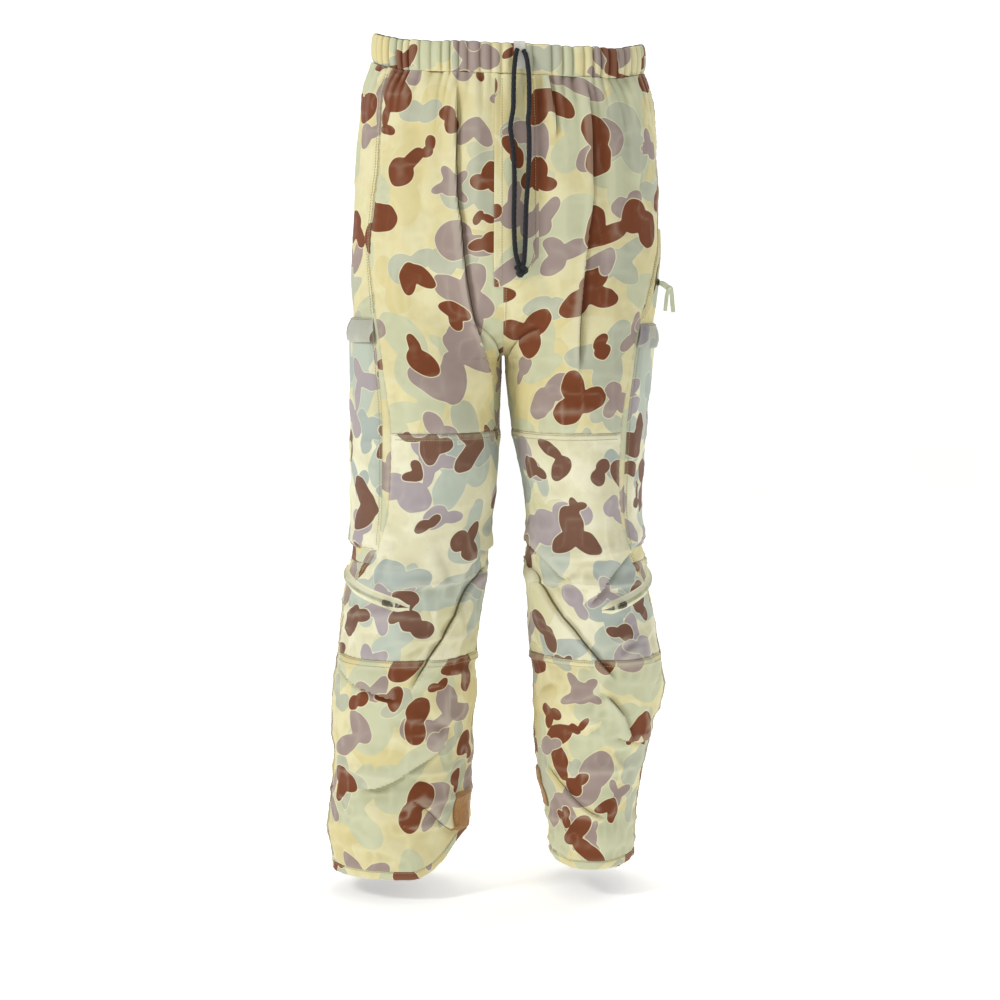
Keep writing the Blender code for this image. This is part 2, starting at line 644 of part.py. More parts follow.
def side_opening():
    """The left hip opening: zip tape, slider, and the tape tied through the slider."""
    tape = material("side_zip_tape", (0.10, 0.055, 0.03), 0.8)
    metal = material("zip_slider", (0.08, 0.08, 0.08), 0.35, 0.8)
    tie = material("tie_tape", (0.66, 0.70, 0.52), 0.8)
    (t_top, z_top), (t_low, z_low) = SIDE_ZIP_TOP, SIDE_ZIP_LOW
    half_t = 0.0075
    rows = spread(0.0, 1.0, 7)
    grids = []
    for out in (LAYER_GAP + 0.0010, LAYER_GAP):
        grid = []
        for share in rows:
            t = t_top + (t_low - t_top) * share
            z = z_top + (z_low - z_top) * share
            grid.append([on_cloth("left", t + d, z, out) for d in (-half_t, 0.0, half_t)])
        grids.append(grid)
    shell("side_zip_left", grids[0], grids[1], tape)
    start, along, outward, sideways = side_frame()
    grids = []
    for out in (SLIDER_THICK / 2, -SLIDER_THICK / 2):
        grid = []
        for up, half in SLIDER_OUTLINE:
            ends = [start + sideways * half, start - sideways * half]
            grid.append([p + along * up + outward * out for p in ends])
        grids.append(grid)
    shell("side_zip_slider_left", grids[0], grids[1], metal, origin=start)
    eye = start + outward * 0.0024
    loop_end = eye + Vector((0.0125, -0.0015, -0.0065))
    tie_strip("tie_tape_left", eye, loop_end, tie)


def side_frame():
    """Where the side slider rests, and its directions along, out of and across the opening."""
    (t_top, z_top), (t_low, z_low) = SIDE_ZIP_TOP, SIDE_ZIP_LOW
    share = SIDE_SLIDER_SHARE
    t = t_top + (t_low - t_top) * share
    z = z_top + (z_low - z_top) * share
    top = on_cloth("left", t_top + (t_low - t_top) * 0.1, z_top + (z_low - z_top) * 0.1, SIDE_ZIP_OUT)
    here = on_cloth("left", t, z, SIDE_ZIP_OUT)
    along = (top - here).normalized()
    outward = cloth_normal("left", t, z)
    sideways = along.cross(outward).normalized()
    outward = sideways.cross(along).normalized()
    return here + outward * 0.0020, along, outward, sideways


def tie_strip(name, eye, knot, finish):
    """A folded tape from the slider out to its knot, with two tails hanging down, as one solid."""
    bm = bmesh.new()
    half_y = 0.0016
    outline = [
        (0.0006, 0.0018), (knot.x - eye.x, knot.z - eye.z + 0.0032), (knot.x - eye.x + 0.0040, knot.z - eye.z),
        (knot.x - eye.x + 0.0062, knot.z - eye.z - 0.0300), (knot.x - eye.x + 0.0016, knot.z - eye.z - 0.0304),
        (knot.x - eye.x - 0.0002, knot.z - eye.z - 0.0060), (knot.x - eye.x - 0.0032, knot.z - eye.z - 0.0290),
        (knot.x - eye.x - 0.0074, knot.z - eye.z - 0.0284), (knot.x - eye.x - 0.0040, knot.z - eye.z - 0.0040),
        (0.0006, -0.0018),
    ]
    faces = []
    for y in (-half_y, half_y):
        shift = [eye + Vector((dx, y + (knot.y - eye.y) * min(1.0, dx / 0.012), dz)) for dx, dz in outline]
        faces.append([bm.verts.new(p) for p in shift])
    bm.faces.new(faces[0])
    bm.faces.new(list(reversed(faces[1])))
    count = len(outline)
    for i in range(count):
        j = (i + 1) % count
        bm.faces.new((faces[0][i], faces[1][i], faces[1][j], faces[0][j]))
    add_object(name, bm, finish, origin=eye)


def build():
    for old in list(bpy.data.objects):
        bpy.data.objects.remove(old, do_unlink=True)
    waistband()
    fly()
    for side in SIDES:
        leg_panels(side)
        cargo_pocket(side)
        pocket_flap(side)
        knee_zip(side)
        patches(side)
    drawcord()
    side_opening()


build()
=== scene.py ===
"""Looks of the camouflage over-trousers.

Printed cloth with its folds, seams and stitching, then the tapes, the zips and the braided drawcord.

Frame: metres, +Z up, the front faces -Y, the origin is the centre of the waist opening.
"right" and "left" are the wearer's, so the right leg lies at -X.
"""

import math

import bpy
import numpy as np
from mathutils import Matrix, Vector


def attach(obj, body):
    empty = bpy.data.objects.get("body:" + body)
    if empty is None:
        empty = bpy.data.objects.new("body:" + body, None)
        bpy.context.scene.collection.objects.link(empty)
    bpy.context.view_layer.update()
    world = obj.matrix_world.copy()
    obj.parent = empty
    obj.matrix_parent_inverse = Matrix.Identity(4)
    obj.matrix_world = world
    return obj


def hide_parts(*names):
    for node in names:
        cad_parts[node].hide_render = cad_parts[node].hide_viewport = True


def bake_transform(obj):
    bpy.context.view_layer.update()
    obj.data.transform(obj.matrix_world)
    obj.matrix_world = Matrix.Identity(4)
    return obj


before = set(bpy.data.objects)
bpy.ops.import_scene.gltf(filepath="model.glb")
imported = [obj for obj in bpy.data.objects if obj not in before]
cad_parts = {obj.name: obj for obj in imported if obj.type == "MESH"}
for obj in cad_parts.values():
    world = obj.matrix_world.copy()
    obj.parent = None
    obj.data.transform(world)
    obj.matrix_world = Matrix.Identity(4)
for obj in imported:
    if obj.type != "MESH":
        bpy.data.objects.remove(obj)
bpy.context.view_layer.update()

# ---------------------------------------------------------------- sizes shared with the model
CLOTH = 0.0016              # thickness of the panels
TAPE = 0.0012               # thickness of the flaps, pouches and the placket
WAIST_RADIUS = 0.15
GATHER_PITCH = WAIST_RADIUS * 2 * math.pi / 76
LAYER_GAP = 0.0012
HALF_GAP = 0.00004          # half the gap between the two sides at the centre seam
SEAM_T = 0.0001             # share of a turn left open on each side of a seam
GAP = 0.0003                # gap between panels above and below a cross seam
BAND_HEIGHT = 0.036
RISE_TOP = -0.268
CROTCH_Z = -0.39
THIGH_TOP = -0.23
THIGH_LOW = -0.48
SEAM_REACH = 0.15
KNEE_TOP_Z = -0.479
KNEE_LOW_Z = -0.757
SEAT_SEAM_Z = -0.64
HEM_BAND = 0.011
LOW_LEG_TOP = -0.5          # below it the legs' small folds grow
KNEE_Z = -0.66
WAIST_TILT = -0.04
TILT_END_Z = -0.3
FRONT_DIP = 0.015           # how far the waist hangs lower in front than at the sides
DIP_REACH = 0.1
DIP_END_Z = -0.2
BODY_POWER = 2.3
SIDES = {"right": -1, "left": 1}

# Tables of (height, value) down each side, in millimetres: the legs' half widths, the inseams, how far the
# cloth stands out in front and behind, and the outer seam's place in thousandths of a turn
OUTER = {
    "right": [
        (-36, 158), (-65, 169), (-110, 175), (-160, 180), (-250, 187),
        (-330, 186), (-370, 185), (-560, 184), (-630, 188), (-670, 196),
        (-750, 205), (-810, 215), (-920, 216), (-970, 220), (-1035, 217),
    ],
    "left": [
        (-36, 171), (-65, 181), (-110, 187), (-160, 189), (-230, 191),
        (-270, 193), (-320, 190), (-370, 183), (-430, 177), (-500, 170),
        (-570, 166), (-620, 172), (-660, 180), (-710, 188), (-760, 198),
        (-810, 204), (-850, 191), (-890, 180), (-970, 168), (-1035, 164),
    ],
}
INNER = {
    "right": [
        (-390, 0), (-430, 3), (-510, 5), (-570, 10), (-610, 17),
        (-690, 25), (-770, 34), (-850, 37), (-920, 39), (-1035, 49),
    ],
    "left": [
        (-390, 0), (-430, 4.5), (-470, 9), (-510, 16), (-550, 24),
        (-600, 28), (-720, 30), (-800, 39), (-870, 41), (-1035, 62),
    ],
}
HIP_FRONT = [(-36, 108), (-70, 114), (-150, 121), (-230, 125), (-310, 127), (-390, 126), (-470, 122)]
FRONT = {
    "right": HIP_FRONT + [(-630, 110), (-790, 96), (-950, 82), (-1035, 78)],
    "left": HIP_FRONT + [(-630, 109), (-790, 90), (-950, 69), (-1035, 62)],
}
HIP_BACK = [(-36, 108), (-70, 116), (-150, 134), (-230, 143), (-310, 141), (-390, 128)]
BACK = {
    "right": HIP_BACK + [
        (-470, 112), (-550, 100), (-630, 93), (-710, 95),
        (-790, 102), (-870, 106), (-950, 102), (-1035, 94),
    ],
    "left": HIP_BACK + [
        (-470, 113), (-550, 103), (-630, 98), (-710, 103),
        (-790, 114), (-870, 124), (-950, 127), (-1035, 124),
    ],
}
OUTSEAM = {
    "right": [(-36, 300), (-200, 300), (-330, 335), (-600, 340), (-700, 460)],
    "left": [(-36, 470), (-200, 470), (-290, 385), (-360, 370), (-600, 370), (-700, 460)],
}
HEM_Z = {"right": -1.034, "left": -1.024}
HEM_LIFT = {"right": 0.06, "left": 0.0}
HEM_LIFT_REACH = 0.22
POCKET_SPAN = {"right": (0.348, 0.56), "left": (0.378, 0.59)}
POCKET_MOUTH = {"right": -0.357, "left": -0.364}
POCKET_BOTTOM = -0.622
FLAP_HEIGHT = 0.0285
POUCH_OUT = 0.0062          # how far the pouch's cloth stands off the leg
FLAP_OUT = 0.0088
FLAP_SEAM_UP = 0.0155       # how far over the pocket's mouth the flap is sewn on
FLAP_TAPE_LENGTH = 0.06
PATCH_SPAN = {"right": (0.046, 0.11), "left": (0.004, 0.062)}
PATCH_TOP = {"right": -0.93, "left": -0.908}
PATCH_HEIGHT = 0.048
ROUND_LEG = 0.6            # metres round a leg for each whole turn, used to turn lengths into shares
KNEE_ZIP = {"right": ((0.29, -0.686), (0.52, -0.655)), "left": ((0.312, -0.69), (0.535, -0.658))}
ZIP_OUT = 0.0026
COIL_PITCH = 0.0017
SIDE_ZIP = ((0.462, -0.232), (0.376, -0.342))
SIDE_SLIDER_SHARE = 0.6
SIDE_ZIP_OUT = 0.003
SLIDER_RUN_MIDDLE = 0.55    # the middle of the side slider's run, as a share of the opening

CORD_RADIUS = 0.0027
STRAND_A = [
    (0.0165, -0.1133, -0.023), (0.0148, -0.1152, -0.029), (0.0136, -0.1163, -0.038),
    (0.0124, -0.118, -0.054), (0.012, -0.1195, -0.076), (0.0115, -0.1225, -0.094),
    (0.0084, -0.1245, -0.114), (0.0096, -0.1252, -0.127), (0.012, -0.1262, -0.147),
    (0.013, -0.1282, -0.169), (0.013, -0.1298, -0.192), (0.0126, -0.1308, -0.212),
    (0.0126, -0.1316, -0.232), (0.0134, -0.1324, -0.252), (0.015, -0.1334, -0.266),
    (0.0178, -0.1342, -0.2752),
]
STRAND_B = [
    (0.0236, -0.1133, -0.0245), (0.0262, -0.1152, -0.03), (0.0284, -0.1163, -0.039),
    (0.0302, -0.118, -0.056), (0.0306, -0.1198, -0.076), (0.0304, -0.1228, -0.094),
    (0.0292, -0.1245, -0.107), (0.0303, -0.125, -0.12), (0.0306, -0.1262, -0.142),
    (0.0298, -0.128, -0.164), (0.0284, -0.1296, -0.187), (0.027, -0.1308, -0.209),
    (0.0264, -0.1318, -0.23), (0.026, -0.1326, -0.248), (0.0251, -0.1334, -0.264),
    (0.024, -0.1342, -0.2752),
]
KNOT_CENTRE = np.array((0.0212, -0.135, -0.2852))
CORD_STEP = 0.0006
BRAID_SIDES = 20
KNOT_RADIUS = 0.0026

CELL = 0.0024               # size of the cloth meshes' cells
CASING_PROFILE = [
    (-0.0362, -0.0016), (-0.0355, 0.0002), (-0.033, 0.0004), (-0.028, 0.0011), (-0.022, 0.0015),
    (-0.016, 0.0014), (-0.01, 0.001), (-0.006, 0.0005), (-0.003, -0.0002), (-0.001, -0.0013),
    (0.0, -0.0026),
    (0.0003, -0.0044), (0.0, -0.0062), (-0.002, -0.008), (-0.006, -0.0089), (-0.012, -0.0092),
    (-0.02, -0.0092), (-0.028, -0.009), (-0.036, -0.0088),
]
SIDE_T = 0.4               # where the front and back waistbands meet
FLOOR_Z = -1.062


# ---------------------------------------------------------------- the plain shape
def ease(value):
    """A smooth step from 0 to 1."""
    value = np.clip(value, 0.0, 1.0)
    return value * value * (3 - 2 * value)


def smooth(table, z):
    """Values at heights z on a smooth curve through a table, which runs downwards in millimetres."""
    heights, values = np.array(table).T / 1000
    count = len(values)
    before = np.maximum(np.arange(count) - 1, 0)
    after = np.minimum(np.arange(count) + 1, count - 1)
    slopes = (values[after] - values[before]) / (heights[after] - heights[before])
    z = np.clip(z, heights[-1], heights[0])
    i = np.clip(np.searchsorted(-heights, -z, side="right") - 1, 0, count - 2)
    span = heights[i + 1] - heights[i]
    s = (z - heights[i]) / span
    level = values[i] * (1 + 2 * s) * (1 - s) ** 2 + values[i + 1] * s * s * (3 - 2 * s)
    return level + span * s * (1 - s) * (slopes[i] * (1 - s) - slopes[i + 1] * s)


def power(value, exponent):
    return np.copysign(np.abs(value) ** exponent, value)


def share_of_leg(t, z):
    """How far a section has turned from half a hip into a whole leg."""
    fall = np.clip((RISE_TOP - z) / (RISE_TOP - CROTCH_Z), 0, 1)
    seam_share = 1 - np.sqrt(1 - fall * fall)
    rest_share = ease((THIGH_TOP - z) / (THIGH_TOP - THIGH_LOW))
    by_seam = 1 - ease(np.minimum(t % 1.0, 1 - t % 1.0) / SEAM_REACH)
    return by_seam * seam_share + (1 - by_seam) * rest_share


def front_dip(y):
    """How far the waist hangs down at a distance y behind its centre."""
    return FRONT_DIP * ease(-y / DIP_REACH)


def cloth_point(side, t, z):
    """The plain cloth's outer face: t runs from the centre front, or the inseam, round the outside."""
    outer, inner = smooth(OUTER[side], z), smooth(INNER[side], z)
    front, back = -smooth(FRONT[side], z), smooth(BACK[side], z)
    turn = 2 * np.pi * t
    leg_x = (outer + inner) / 2 - (outer - inner) / 2 * np.cos(turn)
    leg_y = (back + front) / 2 - (back - front) / 2 * np.sin(turn)
    hip_turn = np.pi * np.clip(t, 0, 1)
    hip_x = outer * power(np.sin(hip_turn), 2 / BODY_POWER)
    along = power(np.cos(hip_turn), 2 / BODY_POWER)
    hip_y = np.where(along > 0, along * front, -along * back)
    leg = share_of_leg(t, z)
    x = SIDES[side] * (leg * leg_x + (1 - leg) * hip_x)
    y = leg * leg_y + (1 - leg) * hip_y
    tilt = WAIST_TILT * x * ease((z - TILT_END_Z) / (-BAND_HEIGHT - TILT_END_Z))
    dip = front_dip(y) * ease((z - DIP_END_Z) / (-BAND_HEIGHT - DIP_END_Z))
    return np.stack([x, y, z + tilt - dip], -1)


def unit(v):
    return v / np.maximum(np.linalg.norm(v, axis=-1, keepdims=True), 1e-12)


def cloth_normal(side, t, z):
    step_t, step_z = 0.004, 0.0015
    around = cloth_point(side, t + step_t, z) - cloth_point(side, t - step_t, z)
    at_seam = (z > CROTCH_Z) & ((t < step_t) | (t > 1 - step_t))
    level = np.stack([SIDES[side] * np.where(t < 0.5, 1.0, -1.0), 0 * t, 0 * t], -1)
    around = np.where(at_seam[..., None], level, around)
    down = cloth_point(side, t, z - step_z) - cloth_point(side, t, z + step_z)
    return unit(np.cross(down, around) * SIDES[side])


# ---------------------------------------------------------------- folds
def lattice(i, j, k, seed):
    """A repeatable number from 0 to 1 for each lattice corner."""
    mixed = i * 374761393 + j * 668265263 + k * 1274126177 + seed * 1442695041
    mixed = (mixed ^ (mixed >> 13)) * 1103515245
    mixed = mixed ^ (mixed >> 16)
    return (mixed & 0xFFFFFF) / float(0xFFFFFF)


def noise(points, size, seed):
    """Smooth noise from -1 to 1, with features of about the given size in metres, or of three sizes."""
    q = points / np.array(size)
    cell = np.floor(q).astype(np.int64)
    f = q - cell
    f = f * f * f * (f * (f * 6 - 15) + 10)
    total = 0.0
    for a in (0, 1):
        for b in (0, 1):
            for c in (0, 1):
                weight = (f[..., 0] if a else 1 - f[..., 0]) * (f[..., 1] if b else 1 - f[..., 1])
                weight = weight * (f[..., 2] if c else 1 - f[..., 2])
                total = total + weight * lattice(cell[..., 0] + a, cell[..., 1] + b, cell[..., 2] + c, seed)
    return 2 * total - 1


def ridges(points, size, seed):
    """Noise with soft valleys and sharper crests, from -1 to 1."""
    return 1 - 2 * np.sqrt(np.abs(noise(points, size, seed)) + 0.002)


def curve_through(route, per_span):
    """Points on one smooth curve through a route's own points."""
    route = np.array(route, float)
    ends = np.vstack([2 * route[0] - route[1], route, 2 * route[-1] - route[-2]])
    s = (np.arange(per_span) / per_span)[:, None]
    spans = []
    for a, b, c, d in zip(ends, ends[1:], ends[2:], ends[3:]):
        curve = 2 * b + (c - a) * s + (2 * a - 5 * b + 4 * c - d) * s**2 + (3 * b - a - 3 * c + d) * s**3
        spans.append(0.5 * curve)
    return np.vstack(spans + [route[-1:]])


def beside(route, a, b):
    """How far points (a, b) are from a smooth route in millimetres, and where along it.

    The distance is positive on the route's right hand. With it come the share of the route's length and the
    direction away from it.
    """
    line = curve_through(np.array(route) / 1000, 4)
    steps = np.linalg.norm(np.diff(line, axis=0), axis=1)
    total = steps.sum()
    best = np.full(a.shape, 9.0)
    share, nx, nz = np.zeros(a.shape), np.zeros(a.shape), np.zeros(a.shape)
    start = 0.0
    for (a0, b0), (a1, b1), length in zip(line, line[1:], steps):
        da, db = (a1 - a0) / length, (b1 - b0) / length
        s = np.clip((a - a0) * da + (b - b0) * db, 0, length)
        ea, eb = a - a0 - s * da, b - b0 - s * db
        gap = np.hypot(ea, eb)
        closer = gap < np.abs(best)
        hand = np.where(ea * db - eb * da >= 0, 1.0, -1.0)
        best = np.where(closer, gap * hand, best)
        share = np.where(closer, (start + s) / total, share)
        nx = np.where(closer, db, nx)
        nz = np.where(closer, -da, nz)
        start += length
    return best, share, nx, nz


# Folds seen from the front, in millimetres: kind, height, width and route as (x, z). A tuck stands up on the
# right hand of its route and drops sharply to its left, and a swell is a soft ridge.
FRONT_FOLDS = [
    ("tuck", 6.2, 20, [(-55, -40), (-57, -130), (-56, -198), (-52, -225), (-48, -270), (-40, -325),
        (-26, -390), (-17, -418), (-6, -470)]),
    ("tuck", 6.2, 22, [(97, -40), (102, -119), (103, -174), (102, -209), (97, -257), (94, -297), (92, -325),
        (90, -367), (91, -420)]),
    ("tuck", 3.5, 14, [(50, -36), (55, -66), (60, -100), (62, -130)]),
    ("tuck", 3.2, 15, [(156, -40), (163, -90), (165, -130), (161, -190)]),
    ("swell", 3.6, 15, [(-122, -40), (-124, -110), (-120, -190), (-114, -290)]),
    ("swell", 3, 11, [(-86, -40), (-90, -120), (-86, -220)]),
    ("swell", 2.6, 10, [(-150, -45), (-156, -110), (-157, -210), (-153, -320)]),
    ("swell", 3.6, 14, [(130, -40), (134, -110), (134, -200), (130, -300)]),
    ("swell", 2.8, 13, [(-30, -45), (-33, -110), (-30, -220), (-22, -300)]),
    ("swell", 3.4, 17, [(66, -130), (68, -220), (64, -320), (60, -420)]),
    ("tuck", 2.6, 12, [(4, -398), (12, -378), (26, -362), (48, -352)]),
    ("tuck", 2.6, 12, [(-46, -345), (-24, -356), (-10, -372), (-3, -395)]),
    ("swell", 2, 16, [(-20, -430), (-50, -420), (-90, -424), (-130, -440)]),
    ("swell", 2, 16, [(30, -440), (62, -450), (100, -452), (140, -444)]),
    ("tuck", 5, 18, [(-6, -604), (-18, -621), (-42, -638), (-57, -668)]),
    ("tuck", 6.8, 22, [(-116, -800), (-94, -765), (-70, -727), (-49, -691), (-12, -632)]),
    ("tuck", 6.2, 26, [(-64, -845), (-84, -872), (-112, -891), (-146, -912), (-180, -922)]),
    ("tuck", 5, 20, [(-128, -805), (-160, -795), (-184, -785), (-206, -766)]),
    ("swell", 4, 22, [(-70, -640), (-110, -652), (-150, -640)]),
    ("swell", 3.6, 18, [(-148, -690), (-128, -720), (-112, -750)]),
    ("swell", 4.6, 18, [(-44, -770), (-60, -810), (-86, -840)]),
    ("swell", 3.6, 18, [(-52, -900), (-90, -930), (-140, -950), (-190, -962)]),
    ("swell", 3, 14, [(-158, -930), (-152, -965), (-160, -1000)]),
    ("tuck", 3.4, 16, [(-52, -985), (-72, -968), (-94, -944), (-112, -930)]),
    ("tuck", 5.2, 18, [(79, -660), (66, -646), (48, -628), (20, -604)]),
    ("tuck", 6.4, 21, [(22, -640), (36, -655), (56, -690), (84, -722), (104, -745), (124, -768),
        (140, -784)]),
    ("tuck", 5.6, 20, [(178, -602), (156, -620), (138, -640), (118, -668), (104, -690)]),
    ("swell", 4.4, 18, [(150, -744), (174, -770), (196, -778)]),
    ("tuck", 4.8, 18, [(124, -800), (146, -826), (152, -846), (158, -868)]),
    ("tuck", 4, 16, [(196, -852), (176, -864), (158, -862), (136, -852)]),
    ("swell", 3.4, 20, [(50, -800), (80, -826), (116, -842)]),
    ("tuck", 3.4, 18, [(50, -890), (76, -926), (104, -950), (130, -962)]),
    ("swell", 2.6, 16, [(150, -890), (120, -905), (90, -900)]),
    ("swell", 3, 16, [(60, -985), (100, -992), (150, -984)]),
]
# Folds seen from behind, also as (x, z)
BACK_FOLDS = [
    ("tuck", 4.8, 20, [(-58, -42), (-64, -120), (-62, -190), (-50, -260)]),
    ("tuck", 4.8, 20, [(60, -260), (70, -190), (70, -120), (64, -42)]),
    ("swell", 3.8, 15, [(-114, -42), (-120, -140), (-118, -260)]),
    ("swell", 3.8, 15, [(118, -42), (126, -140), (122, -250)]),
    ("swell", 3, 12, [(28, -42), (30, -110), (24, -180)]),
    ("swell", 3, 12, [(-30, -42), (-30, -120), (-24, -190)]),
    ("tuck", 4.8, 22, [(-4, -372), (-30, -352), (-70, -345), (-120, -356)]),
    ("tuck", 4.8, 22, [(124, -350), (76, -340), (34, -350), (5, -372)]),
    ("tuck", 4, 18, [(-12, -440), (-44, -418), (-90, -414)]),
    ("tuck", 4, 18, [(92, -410), (46, -416), (14, -440)]),
    ("tuck", 5.8, 22, [(-20, -600), (-64, -586), (-116, -592), (-160, -610)]),
    ("tuck", 5.8, 22, [(-24, -672), (-70, -650), (-120, -648), (-168, -664)]),
    ("tuck", 4.8, 20, [(-180, -712), (-130, -704), (-80, -716), (-34, -742)]),
    ("tuck", 5.8, 22, [(160, -596), (116, -578), (70, -580), (30, -604)]),
    ("tuck", 5.8, 22, [(168, -664), (122, -640), (76, -642), (34, -668)]),
    ("tuck", 4.8, 20, [(40, -738), (86, -710), (134, -702), (178, -716)]),
    ("swell", 4.6, 22, [(-190, -790), (-130, -812), (-70, -800)]),
    ("tuck", 5.2, 22, [(-62, -862), (-110, -884), (-160, -880), (-200, -862)]),
    ("tuck", 4.4, 20, [(-200, -940), (-150, -952), (-100, -944), (-64, -926)]),
    ("swell", 4.6, 22, [(60, -800), (110, -816), (170, -796)]),
    ("tuck", 5.2, 22, [(190, -862), (150, -880), (100, -878), (60, -856)]),
    ("tuck", 4.4, 20, [(64, -930), (100, -950), (140, -948), (160, -936)]),
]


def stroke_lift(folds, a, b):
    """Height of a list of folds at points (a, b), and how far their crests lean over."""
    height = np.zeros(a.shape)
    lean_a, lean_b = np.zeros(a.shape), np.zeros(a.shape)
    for kind, high, wide, route in folds:
        high, wide = high / 1000, wide / 1000
        gap, share, na, nb = beside(route, a, b)
        near = np.abs(gap) < 3.2 * wide
        taper = ease(np.minimum(share, 1 - share) / 0.16) * near
        if kind == "swell":
            height += 1.35 * high * np.exp(-((gap / wide) ** 2)) * taper
            continue
        raised = ease((gap + 0.0013) / 0.0026)
        crest = 1.15 * high * np.exp(-((np.maximum(gap, 0) / wide) ** 2))
        groove = -0.42 * high * np.exp(-((gap / (0.34 * wide)) ** 2))
        height += (crest * raised + groove * (1 - raised)) * taper
        push = 0.5 * high * np.exp(-np.abs(gap) / (0.45 * wide)) * taper * raised
        lean_a -= na * push
        lean_b -= nb * push
    return height, lean_a, lean_b


SHADOW_HALF = 0.0013        # half width of the shadow at the foot of a full tuck
FULL_TUCK = 6               # height in millimetres from which a tuck has its full shadow
SHADOW_REACH = 0.008


def fold_lines(p, n):
    """How far each point is from the foot of the nearest tuck, and the half width of its shadow."""
    nearest, half = np.full(p.shape[:-1], FAR), np.zeros(p.shape[:-1])
    for folds, facing in ((FRONT_FOLDS, -1), (BACK_FOLDS, 1)):
        faces = ease((facing * n[..., 1] + 0.15) / 0.5)
        for kind, high, _, route in folds:
            if kind != "tuck":
                continue
            gap, share, _, _ = beside(route, p[..., 0], p[..., 2])
            closer = (np.abs(gap) < np.abs(nearest)) & (np.abs(gap) < SHADOW_REACH) & (faces > 0.2)
            taper = ease(np.minimum(share, 1 - share) / 0.22)
            nearest = np.where(closer, gap, nearest)
            half = np.where(closer, SHADOW_HALF * min(high / FULL_TUCK, 1.0) * taper * faces, half)
    return nearest, half


def gathers(p):
    """Upright tubes of gathered cloth round the waist, from -1 in their valleys to 1."""
    around = WAIST_RADIUS * np.arctan2(p[..., 1] / 0.11, p[..., 0] / 0.165)
    q = np.stack([p[..., 0], p[..., 1], 0 * around], -1)
    wave = np.abs(np.sin(np.pi * (around / GATHER_PITCH + 0.8 * noise(q, 0.03, 17)))) ** 0.65
    return (2 * wave - 1) * (0.7 + 0.3 * noise(q, 0.022, 18))


def seam_distance(side, t, z):
    return (t - smooth(OUTSEAM[side], z)) * ROUND_LEG


def between(ends, share):
    """The place, as share of a turn and height, at a share of the way between two places."""
    (t0, z0), (t1, z1) = ends
    return t0 + (t1 - t0) * share, z0 + (z1 - z0) * share


def calm_beside(ends, share, t, z, reach):
    """0 on the line between two places and 1 away from it."""
    line_t, line_z = between(ends, np.clip(share, 0, 1))
    return 1 - np.exp(-(((z - line_z) ** 2 + ((t - line_t) * ROUND_LEG) ** 2) / reach**2))


def quiet_zone(side, t, z):
    """1 where folds may rise, and less beside the zips and under the pockets."""
    (front_t, _), (rear_t, _) = KNEE_ZIP[side]
    quiet = calm_beside(KNEE_ZIP[side], (t - front_t) / (rear_t - front_t), t, z, 0.013)
    t_front, t_back = POCKET_SPAN[side]
    across = ease((t - t_front + 0.02) / 0.02) * ease((t_back + 0.02 - t) / 0.02)
    up = ease((POCKET_MOUTH[side] + 0.03 - z) / 0.02) * ease((z - POCKET_BOTTOM + 0.012) / 0.02)
    quiet = quiet * (1 - 0.75 * across * up)
    if side == "left":
        (_, top), (_, low) = SIDE_ZIP
        quiet = quiet * calm_beside(SIDE_ZIP, (z - top) / (low - top), t, z, 0.014)
    return quiet


RIPPLE_PITCH = 0.011        # from ripple to ripple along the cross seams
PUCKER_PITCH = 0.0105       # and along the outer seams


def felled(off, deep, narrow):
    """A seam's dip, and the doubled edge on its positive side."""
    return 0.0006 * ease(off / 0.001) * ease((0.009 - off) / 0.0015) - deep * np.exp(-((off / narrow) ** 2))


